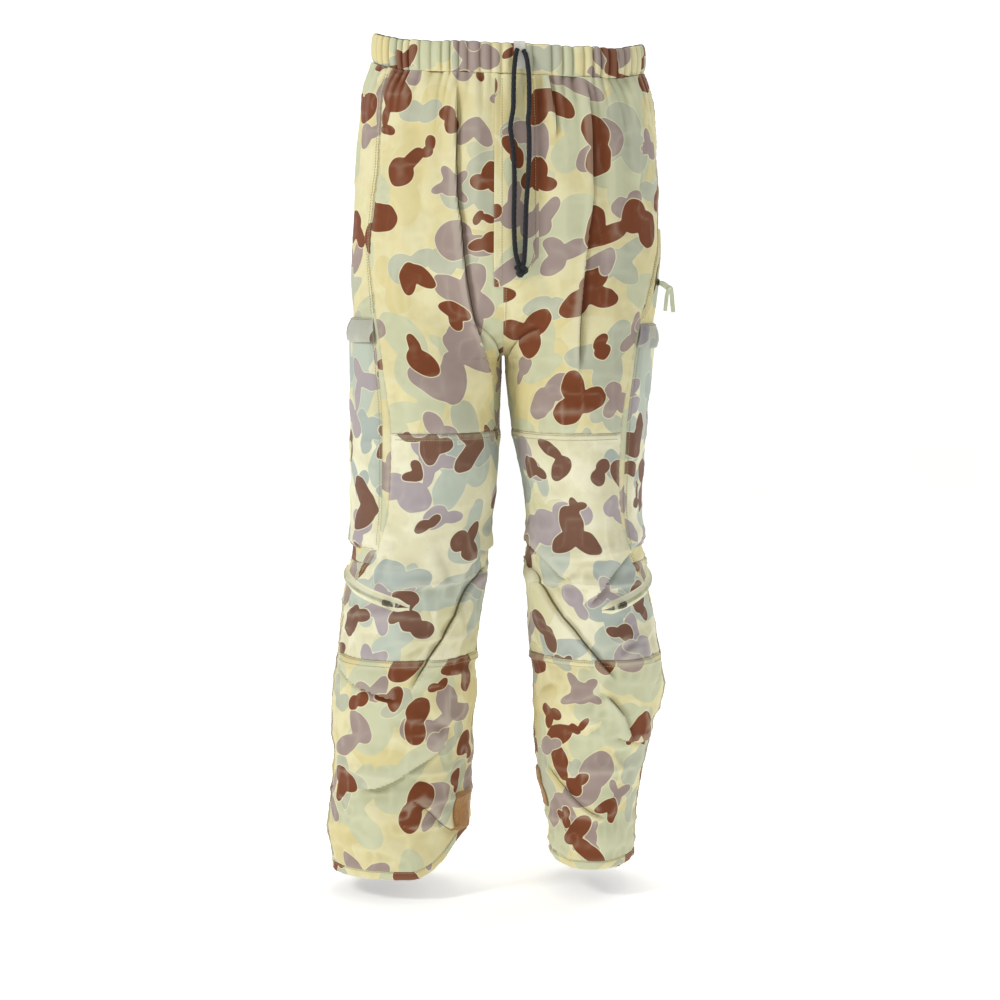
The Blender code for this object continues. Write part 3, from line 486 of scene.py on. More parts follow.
def relief(side, t, z, p, n):
    """The folds' height above the plain cloth, and a sideways lean, at points p with directions n."""
    facing_front = ease((-n[..., 1] + 0.15) / 0.5)
    facing_back = ease((n[..., 1] + 0.15) / 0.5)
    front, front_a, front_b = stroke_lift(FRONT_FOLDS, p[..., 0], p[..., 2])
    back, back_a, back_b = stroke_lift(BACK_FOLDS, p[..., 0], p[..., 2])
    height = front * facing_front + back * facing_back
    lean = np.zeros(p.shape)
    lean[..., 0] = front_a * facing_front + back_a * facing_back
    lean[..., 2] = front_b * facing_front + back_b * facing_back
    low_leg = ease((LOW_LEG_TOP - z) / 0.2)
    at_knee = np.exp(-(((z - KNEE_Z) / 0.09) ** 2))
    height += 0.0012 * noise(p, 0.06, 3) + 0.0014 * ridges(p, (0.05, 0.05, 0.075), 5)
    height += (0.0021 * low_leg + 0.0019 * at_knee) * ridges(p, (0.08, 0.08, 0.034), 7)
    height += (0.0006 + 0.0004 * low_leg) * ridges(p, 0.021, 11) + 0.00016 * noise(p, 0.007, 13)
    below = -BAND_HEIGHT - z
    waist = np.stack([p[..., 0], p[..., 1] * 0.85, 0 * z], -1)
    height += 0.0024 * gathers(p) * np.exp(-below / 0.036)
    height += 0.0046 * noise(waist, 0.02, 19) * np.exp(-below / 0.12)
    gap = seam_distance(side, t, z)
    for seam_z, where in ((KNEE_TOP_Z, 1), (KNEE_LOW_Z, 1), (SEAT_SEAM_Z, -1)):
        on_panel = ease(-where * gap / 0.004)
        off = z - seam_z
        height += felled(-off, 0.0012, 0.0013) * on_panel
        ripple = np.sin(2 * np.pi * (p[..., 0] + 0.01 * noise(p, 0.05, 29)) / RIPPLE_PITCH)
        height += 0.0003 * ripple * np.exp(-np.abs(off) / 0.007) * on_panel
    along = z + 0.01 * noise(p, 0.05, 23)
    pucker = np.sin(2 * np.pi * along / PUCKER_PITCH) * np.exp(-np.abs(gap) / 0.007)
    height += 0.00035 * pucker + felled(gap, 0.0011, 0.0012)
    quiet = quiet_zone(side, t, z)
    under_cord = np.exp(-(((p[..., 0] - 0.02) / 0.026) ** 2)) * facing_front * ease((z + 0.315) / 0.03)
    height = height * quiet
    height = np.where(height > 0, height * (1 - under_cord), height)
    return height, lean * (quiet * (1 - under_cord))[..., None]


def free_draped(side, t, z, out=0.0):
    """Points out from the finished cloth, free to cross the centre seam, and their directions."""
    t, z = np.broadcast_arrays(np.asarray(t, float), np.asarray(z, float))
    p = cloth_point(side, t, z)
    n = cloth_normal(side, t, z)
    height, lean = relief(side, t, z, p, n)
    return p + n * (height + out)[..., None] + lean, n


def draped(side, t, z, out=0.0):
    """Points out from the finished cloth, kept to their own side of the centre seam."""
    p, _ = free_draped(side, t, z, out)
    t, z = np.broadcast_arrays(t, z)
    across = np.maximum(SIDES[side] * p[..., 0], HALF_GAP)
    on_seam = (np.minimum(t, 1 - t) < 2 * SEAM_T) & (z > CROTCH_Z + 0.004)
    p[..., 0] = SIDES[side] * np.where(on_seam, HALF_GAP, across)
    return p


def grid_normals(p, towards):
    """Directions at right angles to a grid of points, on the same side as the given ones."""
    down = np.gradient(p, axis=0)
    around = np.gradient(p, axis=1)
    n = unit(np.cross(down, around))
    return np.where((n * towards).sum(-1, keepdims=True) < 0, -n, n)


# ---------------------------------------------------------------- meshes
def quads(rows, columns, ring=False):
    """Faces of a grid of points, row by row."""
    last = columns if ring else columns - 1
    r = np.arange(rows - 1)[:, None]
    c = np.arange(last)[None, :]
    d = (c + 1) % columns
    corners = [r * columns + c, r * columns + d, (r + 1) * columns + d, (r + 1) * columns + c]
    return np.stack(np.broadcast_arrays(*corners), -1).reshape(-1, 4)


def capped(rows, columns):
    """Faces of a tube of rings, and of the fans that close it to the two points after its last ring."""
    c = np.arange(columns)
    d = (c + 1) % columns
    stop = (rows - 1) * columns
    low = np.stack([c * 0 + rows * columns, d, c], -1)
    high = np.stack([c * 0 + rows * columns + 1, stop + c, stop + d], -1)
    return quads(rows, columns, ring=True), low, high


def shown_name(name):
    """A name of its own for a piece that is shown in place of a node of the model."""
    return f"{name}_shown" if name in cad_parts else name


def add_mesh(name, points, faces, finishes, finish_of=None, fields=None, flat=None, sharp=None):
    """A mesh object; fields are numbers for each point and flat is its place on the flat cloth."""
    mesh = bpy.data.meshes.new(name)
    mesh.from_pydata(points.tolist(), [], faces)
    mesh.polygons.foreach_set("use_smooth", np.ones(len(faces), bool))
    if finish_of is not None:
        mesh.polygons.foreach_set("material_index", np.asarray(finish_of, np.int32))
    for field, values in (fields or {}).items():
        made = mesh.attributes.new(field, "FLOAT", "POINT")
        made.data.foreach_set("value", np.asarray(values, np.float32).ravel())
    if flat is not None:
        layer = mesh.uv_layers.new(name="cloth")
        corners = np.empty(len(mesh.loops), np.int32)
        mesh.loops.foreach_get("vertex_index", corners)
        layer.data.foreach_set("uv", flat[corners].astype(np.float32).ravel())
    for finish in finishes:
        mesh.materials.append(finish)
    mesh.update()
    if sharp:
        mesh.set_sharp_from_angle(angle=math.radians(sharp))
    made = bpy.data.objects.new(shown_name(name), mesh)
    bpy.context.scene.collection.objects.link(made)
    return made


def two_skins(name, outer, inner, finishes, fields=None, flat=None, ring=False, sharp=60, row_finish=None):
    """A closed thin piece between two grids; its inner skin takes the second finish if there is one."""
    rows, columns = outer.shape[:2]
    count = rows * columns
    points = np.vstack([outer.reshape(-1, 3), inner.reshape(-1, 3)])
    skin = quads(rows, columns, ring)
    a, b, c = (points[skin[:, k]] for k in (0, 1, 3))
    facing = (np.cross(b - a, c - a) * (a - points[skin[:, 0] + count])).sum()
    if facing < 0:
        skin = skin[:, ::-1]
    lining = skin[:, ::-1] + count
    last = columns if ring else columns - 1
    outside = np.zeros(len(skin)) if row_finish is None else np.repeat(row_finish, last)
    c = np.arange(last)
    d = (c + 1) % columns
    top = np.stack([c, c + count, d + count, d], -1)
    low = (rows - 1) * columns
    bottom = np.stack([low + c, low + d, low + d + count, low + c + count], -1)
    rims = [top, bottom]
    if not ring:
        r = np.arange(rows - 1) * columns
        rims.append(np.stack([r, r + columns, r + columns + count, r + count], -1))
        e = r + columns - 1
        rims.append(np.stack([e, e + count, e + columns + count, e + columns], -1))
    rim = np.vstack(rims)
    if facing < 0:
        rim = rim[:, ::-1]
    faces = np.vstack([skin, rim, lining])
    inner_finish = 1 if len(finishes) > 1 else 0
    finish_of = np.r_[outside, np.zeros(len(rim)), np.full(len(lining), inner_finish)]
    both = {k: np.r_[v.ravel(), v.ravel()] for k, v in (fields or {}).items()}
    if flat is not None:
        flat = np.vstack([np.stack(flat, -1).reshape(-1, 2)] * 2)
    return add_mesh(name, points, faces.tolist(), finishes, finish_of, both, flat, sharp)


class Pile:
    """Small shapes gathered into one mesh."""

    def __init__(self):
        self.points, self.faces, self.count = [], [], 0

    def add(self, points, *faces):
        for some in faces:
            self.faces += (some + self.count).tolist()
        self.points.append(points)
        self.count += len(points)

    def mesh(self, name, finish):
        return add_mesh(name, np.vstack(self.points), self.faces, [finish])


STITCH_PITCH = 0.0034
STITCH_LENGTH = 0.0026
STITCH_RADIUS = 0.00038


def stitch(pile, line, normals):
    """A row of thread stitches along a line of points, each a small arched bead sunk at its ends."""
    steps = np.r_[0, np.cumsum(np.linalg.norm(np.diff(line, axis=0), axis=1))]
    count = int(steps[-1] / STITCH_PITCH)
    if count < 1:
        return
    starts = np.arange(count) * STITCH_PITCH
    rings = np.array([0.0, 0.22, 0.5, 0.78, 1.0])
    rise = np.array([-0.0003, 0.0001, 0.00022, 0.0001, -0.0003])
    thick = np.array([0.45, 0.9, 1.0, 0.9, 0.45]) * STITCH_RADIUS
    places = starts[:, None] + rings * STITCH_LENGTH
    centre = np.stack([np.interp(places, steps, line[:, k]) for k in range(3)], -1)
    out = unit(np.stack([np.interp(places, steps, normals[:, k]) for k in range(3)], -1))
    along = unit(np.gradient(centre, axis=1))
    beside_it = unit(np.cross(along, out))
    centre = centre + out * rise[:, None]
    corners = (np.arange(6) * np.pi / 3)[:, None]
    spoke = np.cos(corners) * beside_it[:, :, None] + np.sin(corners) * out[:, :, None]
    ring = centre[:, :, None] + spoke * thick[:, None, None]
    points = ring.reshape(-1, 3)
    one = quads(len(rings), 6, ring=True)
    ends = np.array([[0, 5, 4, 3], [0, 3, 2, 1]])
    far = np.array([[0, 1, 2, 3], [0, 3, 4, 5]]) + (len(rings) - 1) * 6
    block = np.vstack([one, ends, far])
    shift = (np.arange(count) * len(rings) * 6)[:, None, None]
    pile.add(points, (block[None] + shift).reshape(-1, 4))


# ---------------------------------------------------------------- the print
# Each blob is a union of ovals: (across, up, half length, half width, turn in degrees) for a blob of size 1
BLOBS = {
    "oval": [(0, 0, 1.0, 0.62, 0)],
    "bean": [(-0.42, 0.02, 0.6, 0.5, 20), (0.42, 0.14, 0.62, 0.46, -25)],
    "heart": [(-0.3, 0.12, 0.8, 0.4, -58), (0.34, 0.14, 0.78, 0.38, 52)],
    "clover": [(-0.44, -0.22, 0.5, 0.46, 0), (0.42, -0.26, 0.52, 0.44, 0), (0.02, 0.44, 0.58, 0.36, 90)],
    "thumb": [(-0.1, -0.24, 0.72, 0.5, 14), (0.34, 0.34, 0.52, 0.26, 66)],
    "pear": [(0, -0.34, 0.6, 0.56, 0), (0.06, 0.44, 0.56, 0.32, 84)],
    "peak": [(0, -0.28, 0.82, 0.44, 0), (0.04, 0.24, 0.62, 0.36, 90)],
    "arrow": [(0.1, 0.1, 0.86, 0.32, 38), (0.16, -0.16, 0.82, 0.28, -40), (-0.36, -0.04, 0.46, 0.4, 0)],
    "hook": [(-0.3, 0.26, 0.62, 0.34, 62), (0.3, -0.36, 0.66, 0.3, -24)],
    "branch": [(-0.5, 0.22, 0.56, 0.25, -34), (0.36, 0.22, 0.66, 0.3, 40), (-0.02, -0.44, 0.58, 0.32, 84)],
    "star": [(0, 0, 0.46, 0.44, 0), (0.06, 0.46, 0.44, 0.2, 80), (-0.46, 0.2, 0.42, 0.2, -24),
             (-0.3, -0.4, 0.44, 0.21, 52), (0.4, -0.34, 0.44, 0.2, -46)],
}
# Layer: seed, blobs for each square metre, smallest and largest size, how far apart, kinds
LAYERS = {
    "warm": (11, 60, 0.034, 0.06, 0.66, ["oval", "bean", "clover", "pear"]),
    "mint": (23, 100, 0.032, 0.066, 0.56, ["oval", "bean", "clover", "hook", "star", "pear", "branch"]),
    "grey": (31, 76, 0.024, 0.05, 0.68, ["bean", "hook", "clover", "pear", "arrow"]),
    "mauve": (
        47, 122, 0.021, 0.046, 0.64,
        ["bean", "heart", "hook", "branch", "pear", "bean", "star", "pear", "heart", "clover"],
    ),
    "rust": (
        59, 140, 0.014, 0.04, 0.68, ["bean", "heart", "thumb", "peak", "pear", "bean", "clover", "hook"],
    ),
    "veil": (71, 24, 0.014, 0.028, 1.0, ["pear", "bean", "heart", "arrow"]),
}
FAR = 0.02                  # the field's value away from any blob


def oval_gap(u, v, half_length, half_width):
    """How far points are outside an oval, negative inside it."""
    first = np.hypot(u / half_length, v / half_width)
    second = np.hypot(u / half_length**2, v / half_width**2)
    return first * (first - 1) / np.maximum(second, 1e-9)


def softest(a, b, round_by):
    """The smaller of two gaps, rounded where they meet."""
    h = np.clip(0.5 + 0.5 * (b - a) / round_by, 0, 1)
    return b + (a - b) * h - round_by * h * (1 - h)


def blob_gap(kind, u, v, size, turn):
    """How far points are outside a blob of a kind and size, turned by an angle."""
    cos, sin = math.cos(turn), math.sin(turn)
    a, b = (u * cos + v * sin) / size, (-u * sin + v * cos) / size
    gap = None
    for across, up, half_length, half_width, lean in BLOBS[kind]:
        angle = math.radians(lean)
        c, s = math.cos(angle), math.sin(angle)
        da, db = a - across, b - up
        one = oval_gap(da * c + db * s, -da * s + db * c, half_length, half_width)
        gap = one if gap is None else softest(gap, one, 0.07)
    return gap * size


def print_fields(u, v, seed, window):
    """For each layer of the print, how far every point of a flat panel is outside its blobs."""
    fields = {}
    bend = np.stack([u, v, np.full(u.shape, seed * 0.7)], -1)
    wu = u + 0.003 * noise(bend, 0.03, 101) + 0.001 * noise(bend, 0.011, 103)
    wv = v + 0.003 * noise(bend, 0.03, 107) + 0.001 * noise(bend, 0.011, 109)
    low, high = np.array(window)
    for layer, (layer_seed, per_area, least, most, apart, kinds) in LAYERS.items():
        random = np.random.default_rng(layer_seed * 1000 + seed)
        wanted = int(per_area * np.prod(high - low))
        placed = []
        for _ in range(wanted * 40):
            if len(placed) >= wanted:
                break
            u0, v0 = low + (high - low) * random.random(2)
            size = least + (most - least) * random.random() ** 1.2
            if all(math.hypot(u0 - a, v0 - b) > apart * (size + s) for a, b, s in placed):
                placed.append((u0, v0, size))
        field = np.full(u.shape, FAR)
        for u0, v0, size in placed:
            kind = kinds[random.integers(len(kinds))]
            turn = random.random() * 2 * math.pi
            near = (np.abs(wu - u0) < 1.5 * size) & (np.abs(wv - v0) < 1.5 * size)
            if near.any():
                gap = blob_gap(kind, wu[near] - u0, wv[near] - v0, size, turn)
                field[near] = np.minimum(field[near], gap)
        fields[layer] = field
    return fields


def window_round(u, v, beside=0.0, above=0.0):
    """The part of the flat print that a piece is cut from, with some room round it."""
    return (u.min() - beside, v.min() - above), (u.max() + beside, v.max() + above)


def flat_place(p):
    """Where each point of a grid lay on the flat cloth: across from its middle column, and up."""
    across = np.linalg.norm(np.diff(p, axis=1), axis=2)
    across = np.hstack([np.zeros((len(p), 1)), np.cumsum(across, axis=1)])
    middle = p.shape[1] // 2
    u = across - across[:, middle : middle + 1]
    down = np.linalg.norm(np.diff(p[:, middle], axis=0), axis=1)
    v = -np.r_[0, np.cumsum(down)]
    return u, np.broadcast_to(v[:, None], u.shape).copy()


# ---------------------------------------------------------------- materials
def srgb(code):
    """A linear colour from a hex code."""
    values = [int(code[i : i + 2], 16) / 255 for i in (0, 2, 4)]
    return [v / 12.92 if v <= 0.04045 else ((v + 0.055) / 1.055) ** 2.4 for v in values] + [1.0]


MIX_A, MIX_B, MIX_OUT = 6, 7, 2     # where a mix node keeps its two colours and its mixed colour


class Nodes:
    """A material's nodes, with short calls for the ones used here."""

    def __init__(self, name):
        self.material = bpy.data.materials.new(name)
        self.material.use_nodes = True
        self.tree = self.material.node_tree
        self.shader = self.tree.nodes["Principled BSDF"]

    def put(self, socket, value):
        if isinstance(value, bpy.types.NodeSocket):
            self.tree.links.new(value, socket)
        else:
            socket.default_value = value

    def node(self, kind, output, inputs=(), **settings):
        """A new node's output, with its named or numbered inputs filled."""
        made = self.tree.nodes.new(kind)
        for key, value in settings.items():
            setattr(made, key, value)
        for key, value in dict(inputs).items():
            self.put(made.inputs[key], value)
        return made.outputs[output]

    def field(self, name):
        return self.node("ShaderNodeAttribute", "Fac", attribute_name=name)

    def flat(self):
        return self.node("ShaderNodeUVMap", "UV", uv_map="cloth")

    def place(self):
        return self.node("ShaderNodeTexCoord", "Object")

    def ramp(self, value, low, high, to_low=0.0, to_high=1.0, smooth=True):
        inputs = {"Value": value, "From Min": low, "From Max": high, "To Min": to_low, "To Max": to_high}
        kind = "SMOOTHSTEP" if smooth else "LINEAR"
        return self.node("ShaderNodeMapRange", "Result", inputs, interpolation_type=kind)

    def mix(self, share, a, b, blend="MIX"):
        inputs = {0: share, MIX_A: a, MIX_B: b}
        return self.node("ShaderNodeMix", MIX_OUT, inputs, data_type="RGBA", blend_type=blend)

    def maths(self, how, a, b=0.0):
        return self.node("ShaderNodeMath", 0, {0: a, 1: b}, operation=how)

    def noise(self, vector, scale, detail=3.0, roughness=0.55):
        inputs = {"Vector": vector, "Scale": scale, "Detail": detail, "Roughness": roughness}
        return self.node("ShaderNodeTexNoise", "Fac", inputs)

    def wave(self, vector, scale, direction, distortion=0.0):
        inputs = {"Vector": vector, "Scale": scale, "Distortion": distortion}
        kinds = {"wave_type": "BANDS", "bands_direction": direction, "wave_profile": "SIN"}
        return self.node("ShaderNodeTexWave", "Fac", inputs, **kinds)

    def bump(self, height, strength, distance, under=None):
        inputs = {"Height": height, "Strength": strength, "Distance": distance}
        if under is not None:
            inputs["Normal"] = under
        return self.node("ShaderNodeBump", "Normal", inputs)

    def finish(self, colour, roughness, normal=None, sheen=0.0, specular=0.3, metallic=0.0):
        filled = {
            "Base Color": colour, "Roughness": roughness, "Metallic": metallic,
            "Specular IOR Level": specular, "Sheen Weight": sheen,
        }
        if normal is not None:
            filled["Normal"] = normal
        for key, value in filled.items():
            self.put(self.shader.inputs[key], value)
        return self.material


# Colours of a print: its ground in two shades, its layers in order, and its outlines
INKS = ("base", "light", *LAYERS, "line")
FULL_PRINT = ("E6DCA8", "ECE5B8", "E4D8A0", "D2D5B2", "C2C6AE", "A8968F", "7E4426", "AB9A95", "EFE8C4")
PALE_PRINT = ("E8E4C0", "F3F0D2", "E2DEB4", "C4CDBE", "B4BEB6", "B3A8AB", "7C5847", "B5ADAF", "EEEBCD")
FLAP_PRINT = ("BCBDB0", "C6C7BA", "B8B8A8", "ABB2A6", "A2A8A0", "9F999C", "6F5546", "A5A1A3", "CFCFC0")
OUTLINES = {"grey": 0.0007, "mauve": 0.0009, "rust": 0.0011, "veil": 0.0011}
WEAVE = math.pi / 5 / 0.0011    # wave scale for diagonal lines 1.1 mm apart


def print_cloth(name, colours):
    """Printed twill: the print's layers with their pale outlines, faded a little by wear on edges and by a
    painted highlight on ridges, with painted shade in hollows and a painted shadow at the foot of each tuck.
    """
    m = Nodes(name)
    ink = {part: srgb(code) for part, code in zip(INKS, colours)}
    flat = m.flat()
    place = m.place()
    mottle = m.noise(place, 26.0, 4.0)
    colour = m.mix(m.ramp(mottle, 0.42, 0.62), ink["base"], ink["light"])
    edge = 0.00035
    for layer in LAYERS:
        field = m.field(layer)
        if layer in OUTLINES:
            outline = m.ramp(field, OUTLINES[layer] + edge, OUTLINES[layer] - edge, 0.0, 0.85)
            colour = m.mix(outline, colour, ink["line"])
        colour = m.mix(m.ramp(field, edge, -edge), colour, ink[layer])
    # Painted shadow: a dark brown line along the foot of each tuck.
    reach = m.maths("ABSOLUTE", m.maths("ADD", m.field("fold"), 0.0016))
    fold_shadow = m.ramp(m.maths("SUBTRACT", m.field("shadow"), reach), 0.0, 0.0006, 0.0, 0.78)
    colour = m.mix(fold_shadow, colour, srgb("5C4B2C"))
    # Painted shade in the hollows of the folds and ruches.
    colour = m.mix(m.maths("MULTIPLY", m.field("hollow_shade"), 0.42), colour, srgb("A0916A"), "MULTIPLY")
    # Paler along edges from wear, and on fold and ruche crests as a painted highlight.
    worn_and_lit = m.field("wear_and_highlight")
    fuzz = m.noise(flat, 900.0, 2.0)
    cloud = m.noise(place, 9.0, 3.0)
    worn_and_lit_share = m.maths("MULTIPLY", worn_and_lit, m.ramp(cloud, 0.3, 0.7, 0.12, 0.4))
    colour = m.mix(worn_and_lit_share, colour, srgb("E9E4CC"))
    colour = m.mix(m.ramp(cloud, 0.35, 0.75, 0.0, 0.1), colour, srgb("C9BE93"), "MULTIPLY")
    twill = m.wave(flat, WEAVE, "DIAGONAL", 0.4)
    colour = m.mix(m.ramp(twill, 0.0, 0.45, 0.05, 0.0), colour, srgb("8C8060"), "MULTIPLY")
    relief_map = m.bump(twill, 0.35, 0.00012)
    relief_map = m.bump(fuzz, 0.25, 0.0001, relief_map)
    rough = m.ramp(m.noise(place, 60.0, 2.0), 0.3, 0.7, 0.74, 0.9)
    return m.finish(colour, rough, relief_map, sheen=0.1, specular=0.22)


def plain_weave(name, light, dark, pitch=0.0011, rough=(0.75, 0.9), sheen=0.1, depth=0.00015):
    """Plain woven cloth or tape in two close shades."""
    m = Nodes(name)
    place = m.place()
    warp = m.wave(place, math.pi / 10 / pitch, "X", 0.2)
    weft = m.wave(place, math.pi / 10 / pitch, "Z", 0.2)
    weave = m.maths("MULTIPLY", warp, weft)
    patches = m.ramp(m.noise(place, 45.0, 4.0), 0.35, 0.7)
    colour = m.mix(patches, srgb(light), srgb(dark))
    colour = m.mix(m.ramp(weave, 0.0, 0.5, 0.28, 0.0), colour, srgb(dark))
    rough = m.ramp(patches, 0.0, 1.0, *rough, smooth=False)
    return m.finish(colour, rough, m.bump(weave, 0.5, depth), sheen=sheen, specular=0.25)


def napped(name, light, dark):
    """Looped pile, as on the soft half of a hook and loop tape."""
    m = Nodes(name)
    place = m.place()
    pile = m.noise(place, 900.0, 3.0, 0.7)
    clumps = m.noise(place, 160.0, 3.0)
    colour = m.mix(m.ramp(pile, 0.35, 0.65), srgb(dark), srgb(light))
    colour = m.mix(m.ramp(clumps, 0.35, 0.65, 0.0, 0.4), colour, srgb(dark))
    height = m.bump(pile, 0.9, 0.0005, m.bump(clumps, 0.5, 0.0006))
    return m.finish(colour, m.ramp(clumps, 0.3, 0.7, 0.85, 1.0), height, sheen=0.35, specular=0.1)


def thread(name, light, dark, twist=0.0009):
    """Twisted thread."""
    m = Nodes(name)
    place = m.place()
    strands = m.wave(place, math.pi / 5 / twist, "DIAGONAL", 1.5)
    colour = m.mix(m.ramp(strands, 0.2, 0.8), srgb(dark), srgb(light))
    return m.finish(colour, m.ramp(strands, 0.0, 1.0, 0.8, 0.55), m.bump(strands, 0.4, 0.0001), specular=0.3)


def braid(name):
    """Tight black cord: its plaited surface is in the mesh, and this adds fibres and wear."""
    m = Nodes(name)
    place = m.place()
    fibres = m.noise(place, 1400.0, 3.0, 0.7)
    dust = m.noise(place, 70.0, 4.0)
    colour = m.mix(m.ramp(fibres, 0.35, 0.7), srgb("101216"), srgb("262A31"))
    colour = m.mix(m.ramp(dust, 0.5, 0.8, 0.0, 0.35), colour, srgb("3A3B3C"))
    rough = m.ramp(fibres, 0.3, 0.7, 0.55, 0.8)
    return m.finish(colour, rough, m.bump(fibres, 0.5, 0.0002), sheen=0.15, specular=0.3)


def metal(name, light, dark):
    """Painted or plated metal, brighter where it is rubbed."""
    m = Nodes(name)
    place = m.place()
    rubbed = m.ramp(m.noise(place, 420.0, 5.0, 0.7), 0.5, 0.75)
    grain = m.noise(place, 2200.0, 2.0)
    colour = m.mix(rubbed, srgb(dark), srgb(light))
    rough = m.ramp(grain, 0.3, 0.7, 0.28, 0.5)
    return m.finish(colour, rough, m.bump(grain, 0.2, 0.00005), specular=0.5, metallic=0.85)


def matt(name, light, dark, scale=2.2):
    """The studio's pale floor and backdrop."""
    m = Nodes(name)
    cloud = m.noise(m.place(), scale, 2.0)
    colour = m.mix(m.ramp(cloud, 0.3, 0.7), srgb(light), srgb(dark))
    m.put(m.shader.inputs["Emission Color"], colour)
    m.shader.inputs["Emission Strength"].default_value = 0.44
    return m.finish(colour, 0.9, specular=0.1)


PRINT = print_cloth("camouflage_cloth", FULL_PRINT)
PALE = print_cloth("pale_camouflage_cloth", PALE_PRINT)
GREY = print_cloth("flap_cloth", FLAP_PRINT)
LINING = plain_weave("brown_lining", "4A2E20", "3A2318")
THREAD = thread("seam_thread", "C9BD8C", "8F8258")
ELASTIC = plain_weave("elastic_weave", "E6E4D8", "CFCCBC", 0.0016)
KEEPER = plain_weave("keeper_weave", "ECEBE2", "D6D4C8", 0.001)
CORD = braid("cord_braid")
HOOKS = napped("hook_pile", "B98F60", "93683C")
LOOPS = napped("loop_pile", "C2935A", "97683A")
ZIP_TAPE = plain_weave("zip_weave", "E4E5CC", "D0D2B4", 0.0009)
ZIP_TEETH = plain_weave("zip_coil", "DDDFC2", "B9BC98", 0.0006, (0.4, 0.55), 0.0)
SIDE_TAPE = plain_weave("side_zip_weave", "54351F", "3B2415", 0.0009)
TIE = plain_weave("tie_weave", "DDE2C6", "C0C8A8", 0.0009)
METAL = metal("slider_metal", "A9A594", "5E5A4C")


# ---------------------------------------------------------------- panels
def hem_level(side, t):
    """The hem's height round the leg."""
    away = np.minimum(np.minimum(t % 1.0, 1 - t % 1.0), HEM_LIFT_REACH)
    return HEM_Z[side] + HEM_LIFT[side] * (1 + np.cos(np.pi * away / HEM_LIFT_REACH)) / 2


def fitted(side, rows, t):
    """The rows' heights, moved up where the hem is lifted."""
    share = np.clip((KNEE_LOW_Z - rows) / (KNEE_LOW_Z - HEM_Z[side] - HEM_BAND - GAP), 0, 1)
    return rows + (hem_level(side, t) - HEM_Z[side]) * share


def levels(*stops):
    """Heights from stop to stop, about a cell apart."""
    rows = []
    for high, low in zip(stops, stops[1:]):
        count = max(2, round((high - low) / CELL))
        rows.append(np.linspace(high, low, count, endpoint=False))
    return np.concatenate(rows + [[stops[-1]]])


def blur(field, reach):
    """The field averaged over a square of cells."""
    size = 2 * reach + 1
    for axis in (0, 1):
        ends = [(reach + 1, reach) if a == axis else (0, 0) for a in (0, 1)]
        total = np.cumsum(np.pad(field, ends, mode="edge"), axis=axis)
        high = np.take(total, np.arange(size, total.shape[axis]), axis=axis)
        low = np.take(total, np.arange(total.shape[axis] - size), axis=axis)
        field = (high - low) / size
    return field


def wear_and_highlight_of(height, u, v):
    """How pale each point is made: most along the piece's edges, by wear, and on the crests of its folds, by
    a painted highlight.
    """
    sides = np.minimum(u - u.min(axis=1, keepdims=True), u.max(axis=1, keepdims=True) - u)
    ends = np.minimum(v - v.min(), v.max() - v)
    edge = np.exp(-np.minimum(sides, ends) / 0.0022)
    # Paler on the crests of folds: a painted highlight.
    crest = np.clip((height - blur(height, 4)) / 0.0012, 0, 1)
    return np.clip(0.55 * edge + 0.8 * crest, 0, 1)


def skin_area(p):
    """The area of a grid of points."""
    diagonals = np.cross(p[1:, 1:] - p[:-1, :-1], p[1:, :-1] - p[:-1, 1:])
    return float(np.linalg.norm(diagonals, axis=-1).sum() / 2)


def declare_sheet(u, v, area):
    width, length = float(np.ptp(u)), float(np.ptp(v))
    area = min(area, width * length)


def moves_with(made, body="trousers"):
    """The piece has no node of its own in the model, and moves with a body."""
    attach(made, body)
    return made


def stands_for(made, node, body="trousers"):
    """The piece is shown in place of a node of the model and moves with a body."""
    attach(made, body)
    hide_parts(node)
    return made


PRINTED = {}                # for each panel: rows, across and up at its first edge, print window and seed
TOP_Z = -BAND_HEIGHT - GAP
CROTCH_ROWS = RISE_TOP - (RISE_TOP - CROTCH_Z) * np.sin(np.linspace(0, np.pi / 2, 62))


def upper_rows(low):
    return np.concatenate([levels(TOP_Z, RISE_TOP)[:-1], CROTCH_ROWS, levels(CROTCH_Z, low)[1:]])


def cloth_panel(name, side, front, rows, finish, seed):
    """One panel of a leg, between the centre or inner seam and the outer seam."""
    seam = smooth(OUTSEAM[side], rows)
    start = np.full(len(rows), SEAM_T) if front else seam + SEAM_T
    end = seam - SEAM_T if front else np.full(len(rows), 1 - SEAM_T)
    columns = int((end - start).max() * ROUND_LEG / CELL) + 1
    t = start[:, None] + (end - start)[:, None] * np.linspace(0, 1, columns)
    z = fitted(side, rows[:, None], t)
    plain = cloth_point(side, t, z)
    towards = cloth_normal(side, t, z)
    outer = draped(side, t, z)
    inner = outer - unit(grid_normals(outer, towards) + towards) * CLOTH
    inner[..., 0] = SIDES[side] * np.maximum(SIDES[side] * inner[..., 0], HALF_GAP)
    u, v = flat_place(plain)
    window = window_round(u, v, 0.05, 0.02)
    fields = print_fields(u, v, seed, window)
    height = ((outer - plain) * towards).sum(-1)
    # Paler along the edges from wear, and on fold crests as a painted highlight.
    fields["wear_and_highlight"] = wear_and_highlight_of(height, u, v)
    # Painted shade, darker in the hollows between folds.
    fields["hollow_shade"] = np.clip((blur(height, 4) - height) / 0.002, 0, 1)
    # Where the painted shadow along the foot of each tuck falls, and how wide it is.
    fields["fold"], shadow = fold_lines(plain, towards)
    fields["shadow"] = shadow * quiet_zone(side, t, z)
    PRINTED[name] = (rows, u[:, 0], v[:, 0], window, seed)
    made = two_skins(name, outer, inner, [finish, LINING], fields, (u, v))
    stands_for(made, name)
    declare_sheet(u, v, skin_area(outer))
    return made


